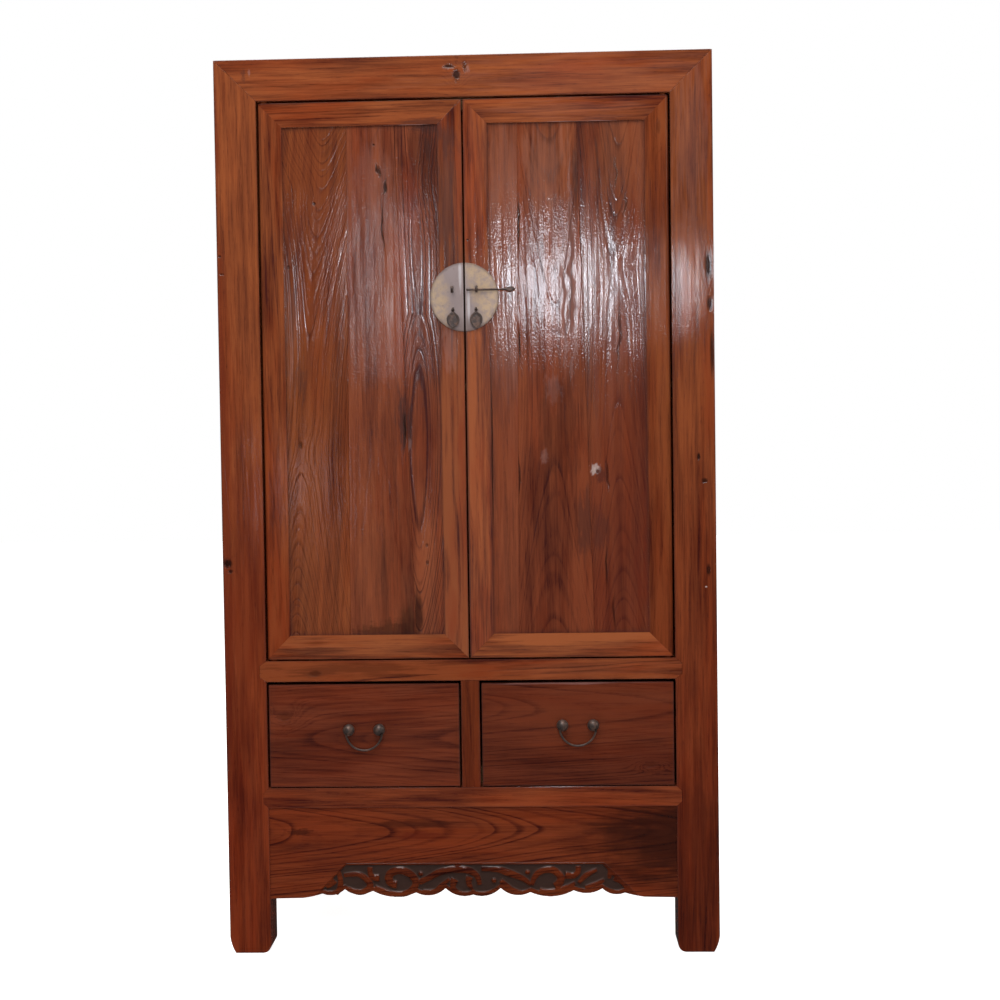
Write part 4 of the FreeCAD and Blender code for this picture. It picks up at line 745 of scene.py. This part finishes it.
# The apron: a plain upper board, and a band below it carved with leafy scrolls. Points are
# millimetres along the apron and up from the floor.
apron = {
    "board": dict(grain="x", heart=(-0.039, 0.02), ring=0.0072, rings=0.62, streaks=0.6,
              tone=0.84, fade=0.8, wander=0.05, taper=-0.11, edge=0.45,
              marks=[
                  ("red", -0.115, 0.247, 0.07, 0.010, 0.6), ("soot", 0.44, 0.235, 0.27, 0.13, 0.85, 0.03),
                  ("stain", 0.30, 0.268, 0.10, 0.012, 0.6, 0.01),
                  ("stain", -0.13, 0.272, 0.13, 0.012, 0.6, 0.01),
                  ("stain", -0.36, 0.255, 0.03, 0.010, 0.7, 0.01),
                  ("swirl", -0.345, 0.25, 0.02, 0.012, 0.3)]),
    "seed": 31, "band": 0.1895, "ground": -0.246,
    "voxel": 0.00122, "settle": 3,  # the grid that melts the carving together, and smoothing steps
    "thick": 0.0068, "flat": 0.62, "sunk": 0.0004, "bulb": 0.8,
    "swell": (0.35, 0.75, 0.4),  # a ridge's least thickness, what is added, and where none is
    "beadDepth": -0.2486, "beadWidths": (0.24, 0.29, 0.24),
    # the dark of the hollows, partly grime and partly painted shade, lies between these depths; its wear,
    # strength and dullness
    "hollow": (-0.2486, -0.2466), "back": (-0.2449, -0.2456), "hollowTone": (0.036, 0.0155, 0.0100),
    "wear": 0.0012, "wearScale": 70, "grimedAndShaded": 0.93, "dulled": 0.45,
    "bead": [(-268, 186.8), (276, 186.8)],
    "ends": [[(-266, 189.5), (-326, 128)], [(274, 189.5), (341, 124)]],
    "scrolls": [
        # start, middle and end thickness, then the points that the ridge follows
        (1.2, 0.9, 0.5, [(-293, 153), (-301, 142), (-310, 138)]),
        (0.6, 1.0, 0.6, [(-284, 172), (-278, 153), (-282, 132), (-290, 124)]),
        (0.6, 1.1, 0.7, [(-272, 163), (-246, 168), (-230, 160), (-218, 148), (-216, 138), (-229, 128),
            (-246, 126), (-264, 134)]),
        (0.8, 0.8, 1.2, [(-217, 181), (-218, 168), (-211, 157), (-198, 157)]),
        (0.6, 1.2, 1.3, [(-207, 138), (-190, 131), (-173, 125), (-154, 122), (-138, 125), (-126, 134),
            (-120, 144), (-122, 156), (-134, 167), (-149, 174), (-163, 173), (-175, 167), (-179, 155),
            (-173, 145), (-161, 143)]),
        (0.9, 1.2, 0.7, [(-113, 148), (-89, 159), (-72, 169), (-49, 175), (-26, 176), (-8, 173), (6, 165),
            (12, 155), (14, 142)]),
        (0.5, 0.9, 0.5, [(-106, 129), (-89, 127), (-76, 130), (-69, 138), (-61, 145), (-49, 155)]),
        (1.3, 0.8, 0.4, [(-38, 154), (-45, 142), (-38, 129), (-19, 125)]),
        (1.2, 0.8, 0.4, [(-7, 159), (-11, 148), (-5, 137), (2, 129)]),
        (0.7, 1.2, 0.6, [(18, 176), (42, 176), (58, 174), (75, 167), (92, 161), (109, 153), (122, 142)]),
        (0.6, 0.9, 0.5, [(58, 151), (69, 142), (82, 130), (98, 127)]),
        (0.7, 1.1, 1.2, [(123, 141), (127, 154), (135, 166), (149, 173), (164, 175), (176, 169),
            (185, 158), (184, 146), (172, 138)]),
        (0.5, 1.1, 0.5, [(140, 131), (153, 126), (174, 127), (193, 134), (214, 145)]),
        (0.8, 0.8, 1.1, [(221, 181), (222, 172), (218, 164), (208, 159), (194, 162)]),
        (0.6, 0.9, 0.5, [(222, 145), (231, 157), (246, 167), (260, 173)]),
        (0.5, 0.9, 0.5, [(235, 136), (254, 140), (275, 151)]),
        (0.7, 0.8, 0.5, [(288, 174), (287, 164), (286, 154)]),
        (1.2, 0.9, 0.5, [(298, 157), (306, 150), (316, 144)]),
    ],
    "bulbs": [(-110, 166), (44, 151), (115, 168)],
}


def ridgeMesh(points, widths, thick, depth):
    # a rounded ridge that swells in the middle, as a mesh in the cabinet's own place
    start, middle, end = widths
    least, more, thin = apron["swell"]
    curve = bpy.data.curves.new("ridge", "CURVE")
    curve.dimensions = "3D"
    curve.bevel_depth = thick
    curve.bevel_resolution = 3
    curve.resolution_u = 6
    curve.use_fill_caps = True
    line = curve.splines.new("NURBS")
    line.points.add(len(points) - 1)
    for count, (x, z) in enumerate(points):
        share = count / (len(points) - 1)
        if share < 0.5:
            swell = start + (middle - start) * share * 2
        else:
            swell = middle + (end - middle) * (share * 2 - 1)
        line.points[count].co = (x / 1000, depth, z / 1000, 1)
        line.points[count].radius = least + more * swell if swell > thin else swell
    line.order_u = 3
    line.use_endpoint_u = True
    ridge = putIn("ridge", curve)
    bpy.context.view_layer.update()
    mesh = bpy.data.meshes.new_from_object(ridge)
    for vert in mesh.vertices:
        vert.co.y = depth + (vert.co.y - depth) * apron["flat"]
    bpy.data.objects.remove(ridge)
    bpy.data.curves.remove(curve)
    return mesh


def drawInto(shape, mesh):
    shape.from_mesh(mesh)
    bpy.data.meshes.remove(mesh)


def endPlane(end, side):
    # the slanting line where the carving stops: a point on it and the way out
    (x1, z1), (x2, z2) = end
    return Vector((x1, 0, z1)) / 1000, Vector((z1 - z2, 0, x2 - x1)).normalized() * side


def carvedBand():
    shape = boardShape("front_apron")
    keepSide(shape, (0, 0, apron["band"]), Vector((0, 0, 1)))
    for end, side in zip(apron["ends"], (-1, 1)):
        keepSide(shape, *endPlane(end, side))
    depth = apron["ground"] + apron["sunk"]
    for *widths, points in apron["scrolls"]:
        drawInto(shape, ridgeMesh(points, widths, apron["thick"], depth))
    for points in [apron["bead"], *apron["ends"]]:
        drawInto(shape, ridgeMesh(points, apron["beadWidths"], apron["thick"], apron["beadDepth"]))
    for x, z in apron["bulbs"]:
        bmesh.ops.create_icosphere(shape, subdivisions=2, radius=apron["thick"] * apron["bulb"],
                                   matrix=Matrix.Translation((x / 1000, depth, z / 1000)))
    piece = makePiece("carved_band", shape)
    melt = piece.modifiers.new("melt", "REMESH")
    melt.mode = "VOXEL"
    melt.voxel_size = apron["voxel"]
    melt.use_smooth_shade = True
    settle = piece.modifiers.new("settle", "SMOOTH")
    settle.factor = 0.5
    settle.iterations = apron["settle"]
    bpy.context.view_layer.update()
    solid = bpy.data.meshes.new_from_object(piece.evaluated_get(bpy.context.evaluated_depsgraph_get()))
    piece.modifiers.clear()
    old = piece.data
    piece.data = solid
    bpy.data.meshes.remove(old)
    solid.name = "carved_band"
    return piece


def carvedMaterial(spec):
    made = elmMaterial("elm_carving", spec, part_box("front_apron"), apron["seed"])
    tree = made.node_tree
    shader = tree.nodes["Principled BSDF"]
    place = tree.nodes.new("ShaderNodeTexCoord").outputs["Object"]
    parts = apart(tree, place)
    worn = noiseNode(tree, place, apron["wearScale"])
    sunk = timesPlus(tree, offHalf(tree, worn), apron["wear"], parts[1])
    sunk = rangeNode(tree, sunk, *apron["hollow"])  # dark in the hollows, grime with painted shade, red brown on the ridges
    sunk = times(tree, sunk, rangeNode(tree, parts[1], *apron["back"]))
    old = shader.inputs["Base Color"].links[0].from_socket
    feed(tree, shader.inputs["Base Color"], tinted(tree, old, sunk, apron["grimedAndShaded"], apron["hollowTone"]))
    old = shader.inputs["Roughness"].links[0].from_socket
    feed(tree, shader.inputs["Roughness"], timesPlus(tree, sunk, apron["dulled"], old))
    return made


def plainApron():
    # the board round the band: what is over it and the two ends, flush with each other
    whole = boardShape("front_apron")
    easeEdges(whole, edgeWear["apron"])
    made = bmesh.new()
    for end, side in [(None, 0), *zip(apron["ends"], (-1, 1))]:
        part = whole.copy()
        keepSide(part, (0, 0, apron["band"]), Vector((0, 0, 1 if side else -1)))
        if side:
            point, out = endPlane(end, side)
            keepSide(part, point, -out)
        mesh = bpy.data.meshes.new("part")
        part.to_mesh(mesh)
        part.free()
        drawInto(made, mesh)
    whole.free()
    return makePiece("front_apron_plain", made)


upperLook = elmMaterial("elm_apron", apron["board"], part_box("front_apron"), apron["seed"])
dress(plainApron(), "front_apron", upperLook)
band = carvedBand()
bandLook = {**apron["board"], "edge": 0.0, "tone": 0.58, "shine": 0.05, "specular": 0.26}
dress(band, "front_apron", carvedMaterial(bandLook))
print("apron carved:", len(band.data.polygons), "faces")


# The metal: a round brass lock plate in two halves, and iron pins, drops, bosses and bails
metals = {
    "brass": {"bright": (0.41, 0.285, 0.178), "tarnish": (0.255, 0.195, 0.185), "brown": (0.10, 0.055, 0.04),
              "gapHighlight": (0.52, 0.47, 0.47), "metallic": 0.35, "specular": 0.5, "bump": 0.0004},
    "iron": {"bare": (0.060, 0.042, 0.036), "rust": (0.13, 0.075, 0.055), "worn": (0.20, 0.17, 0.165),
             "metallic": 0.45, "specular": 0.5, "bump": 0.0003},
}
# the plate's wear; for its left and right half, the slope and place of the worn part's edge
# and the height of the painted highlight strip beside the gap
plate = {"centre": (0, -0.2518, 1.372), "rim": (0.0665, 0.0725), "low": (1.345, 1.305),
         "stripFrom": 0.0082, "stripSize": (0.0045, 0.03, 0.042),
         -1: {"slope": -0.14, "worn": (-0.14, -0.112), "strip": 1.418},
         1: {"slope": 0.35, "worn": (0.510, 0.540), "strip": 1.352}}


def fillMetal(tree, shader, look, colour, rough, height):
    fill(tree, shader, Base_Color=colour, Roughness=rough, Metallic=look["metallic"],
         Specular_IOR_Level=look["specular"])
    addBump(tree, shader, height, look["bump"])


def brassMaterial(name, side):
    look, wear = metals["brass"], plate[side]
    made, tree, shader, place = newMaterial(name)
    cloud = noiseNode(tree, place, 24, 4.0, 0.62)
    grit = noiseNode(tree, place, 260, 3.0, 0.6)
    parts = apart(tree, place)
    away = sumNode(tree, "ABSOLUTE", parts[0])
    away = timesPlus(tree, parts[2], wear["slope"], away)
    bare = rangeNode(tree, timesPlus(tree, cloud, 0.05, away), *wear["worn"])
    mottle = rangeNode(tree, noiseNode(tree, place, 75, 5.0, 0.7), 0.36, 0.60, 0.25, 1.0)
    bare = times(tree, bare, mottle)
    colour = mixNode(tree, bare, (*look["tarnish"], 1), (*look["bright"], 1))
    # a painted highlight: a pale strip beside the gap, where the plate's bent edge catches the light
    strip = useGroup(tree, "spot", Place=place, Ragged=0.8, Grain=place, Size=plate["stripSize"],
                     Centre=(plate["stripFrom"] * side, plate["centre"][1], wear["strip"]))
    colour = tinted(tree, colour, strip["Mask"], 0.65, look["gapHighlight"])
    radius = vectorNode(tree, "LENGTH", vectorNode(tree, "SUBTRACT", place, plate["centre"]))
    rim = rangeNode(tree, timesPlus(tree, grit, 0.003, radius), *plate["rim"])
    low = times(tree, rangeNode(tree, parts[2], *plate["low"]), rangeNode(tree, cloud, 0.35, 0.6))
    spots = rangeNode(tree, grit, 0.62, 0.72)
    for mask, strength in ((rim, 0.6), (low, 0.45), (spots, 0.4)):
        colour = tinted(tree, colour, mask, strength, look["brown"])
    height = timesPlus(tree, grit, 0.4, noiseNode(tree, place, 40))
    fillMetal(tree, shader, look, colour, timesPlus(tree, cloud, 0.3, 0.28), height)
    return made


def ironMaterial():
    look = metals["iron"]
    made, tree, shader, place = newMaterial("dark_iron")
    cloud = noiseNode(tree, place, 95, 4.0, 0.6)
    grit = noiseNode(tree, place, 700, 3.0, 0.6)
    colour = mixNode(tree, rangeNode(tree, cloud, 0.45, 0.65), (*look["bare"], 1), (*look["rust"], 1))
    colour = tinted(tree, colour, rangeNode(tree, grit, 0.55, 0.75), 0.6, look["worn"])
    height = timesPlus(tree, grit, 0.4, cloud)
    fillMetal(tree, shader, look, colour, timesPlus(tree, grit, 0.35, 0.25), height)
    return made


iron = ironMaterial()
for node, side in (("left_lock_plate", -1), ("right_lock_plate", 1)):
    dress(wornBoard(node, edgeWear["plate"]), node, brassMaterial(f"{node}_brass", side))

# The pin turned on its long axis: distance along it and radius, in millimetres
pin = {"start": 0.00425, "y": -0.2561, "z": 1.3868, "flat": 0.00215,
       "profile": [(0, 0), (0.3, 1.7), (1.5, 2.15), (9, 2.1), (14, 2.0), (76, 1.9), (78, 2.3), (80, 2.3),
                   (81, 2.0), (84, 3.6), (88, 5.2), (91, 5.4), (95, 4.2), (99, 2.2), (101.6, 0)]}


def spinRound(shape, geometry, centre, axis, steps):
    bmesh.ops.spin(shape, geom=geometry, cent=centre, axis=axis, dvec=(0, 0, 0), angle=math.tau,
                   steps=steps, use_merge=True, use_duplicate=False)


def lockPin():
    shape = bmesh.new()
    points = [shape.verts.new((pin["start"] + x / 1000, pin["y"], pin["z"] + r / 1000))
              for x, r in pin["profile"]]
    edges = [shape.edges.new(pair) for pair in zip(points, points[1:])]
    spinRound(shape, points + edges, (0, pin["y"], pin["z"]), (1, 0, 0), 24)
    bmesh.ops.remove_doubles(shape, verts=shape.verts, dist=oneSpot)
    for vert in shape.verts:  # the head is hammered flat
        away = vert.co.y - pin["y"]
        if abs(away) > pin["flat"]:
            vert.co.y = pin["y"] + math.copysign(pin["flat"], away)
    bmesh.ops.recalc_face_normals(shape, faces=shape.faces)
    piece = makePiece("lock_pin_turned", shape)
    piece.data.shade_smooth()
    return piece


dress(lockPin(), "lock_pin", iron)


# The drop's leaf, half its outline from the foot of the loop to the tip, in millimetres
leaf = {"middle": 0.024, "top": 1.3425, "back": -0.2546, "thick": 0.0017,
        "outline": [(0, 0), (2.6, -1.2), (6.0, -3.8), (10.4, -8.0), (12.9, -13.0), (13.3, -18.5),
                    (12.1, -24.0), (9.0, -29.0), (4.9, -33.2), (1.9, -35.2), (0, -35.6)],
        "mouldings": [(0.0016, 0.0), (0.0007, -0.0006), (0.0030, 0.0005)],  # inset and rise, from the rim
        "loop": (0.0027, 0.00095)}


def dropLeaf(node, side):
    middle = leaf["middle"] * side
    shape = bmesh.new()
    half = leaf["outline"]
    ring = half + [(-x, z) for x, z in half[-2:0:-1]]
    rim = [shape.verts.new((middle + x / 1000, leaf["back"], leaf["top"] + z / 1000)) for x, z in ring]
    face = shape.faces.new(rim)
    if face.normal.y > 0:
        face.normal_flip()
    grown = bmesh.ops.extrude_face_region(shape, geom=[face])
    front = [item for item in grown["geom"] if isinstance(item, bmesh.types.BMFace)]
    raised = [vert for one in front for vert in one.verts]
    bmesh.ops.translate(shape, vec=(0, -leaf["thick"], 0), verts=raised)
    for inset, rise in leaf["mouldings"]:
        bmesh.ops.inset_region(shape, faces=front, thickness=inset, depth=rise, use_even_offset=True)
    bmesh.ops.recalc_face_normals(shape, faces=shape.faces)
    easeEdges(shape, edgeWear["leaf"])
    radius, wire = leaf["loop"]
    centre = Vector((middle, leaf["back"] - wire, leaf["top"] + radius))
    start = Matrix.Translation(centre + Vector((radius, 0, 0))) @ Matrix.Rotation(math.pi, 4, "X")
    hoop = bmesh.ops.create_circle(shape, segments=10, radius=wire, matrix=start)["verts"]
    edges = list({edge for vert in hoop for edge in vert.link_edges})
    spinRound(shape, hoop + edges, centre, (0, 1, 0), 20)
    bmesh.ops.recalc_face_normals(shape, faces=shape.faces)
    return makePiece(f"{node}_leaf", shape)


for node, side in (("left_drop_pull", -1), ("right_drop_pull", 1)):
    dress(dropLeaf(node, side), node, iron)

# the staples: the middle of each pair, and how much broader the wire is
staples = {"left_door_staples": -0.0247, "right_door_staples": 0.0247, "wider": 1.7}


def forgedStaples(node):
    # the drawn wire of the staples, hammered broader
    shape = boardShape(node)
    middle = Vector((staples[node], 0, 0))
    bmesh.ops.scale(shape, vec=(staples["wider"], 1, 1), space=Matrix.Translation(-middle), verts=shape.verts)
    return makePiece(f"{node}_forged", shape)


for node in ("left_door_staples", "right_door_staples"):
    dress(forgedStaples(node), node, iron)
for node, slot in slotOf.items():  # the bosses and bails are the CAD's own
    kept = frame["nodes"][node]
    if slot == "dark_iron" and not kept.hide_render:
        kept.data.materials.clear()
        kept.data.materials.append(iron)
print("metal finished")
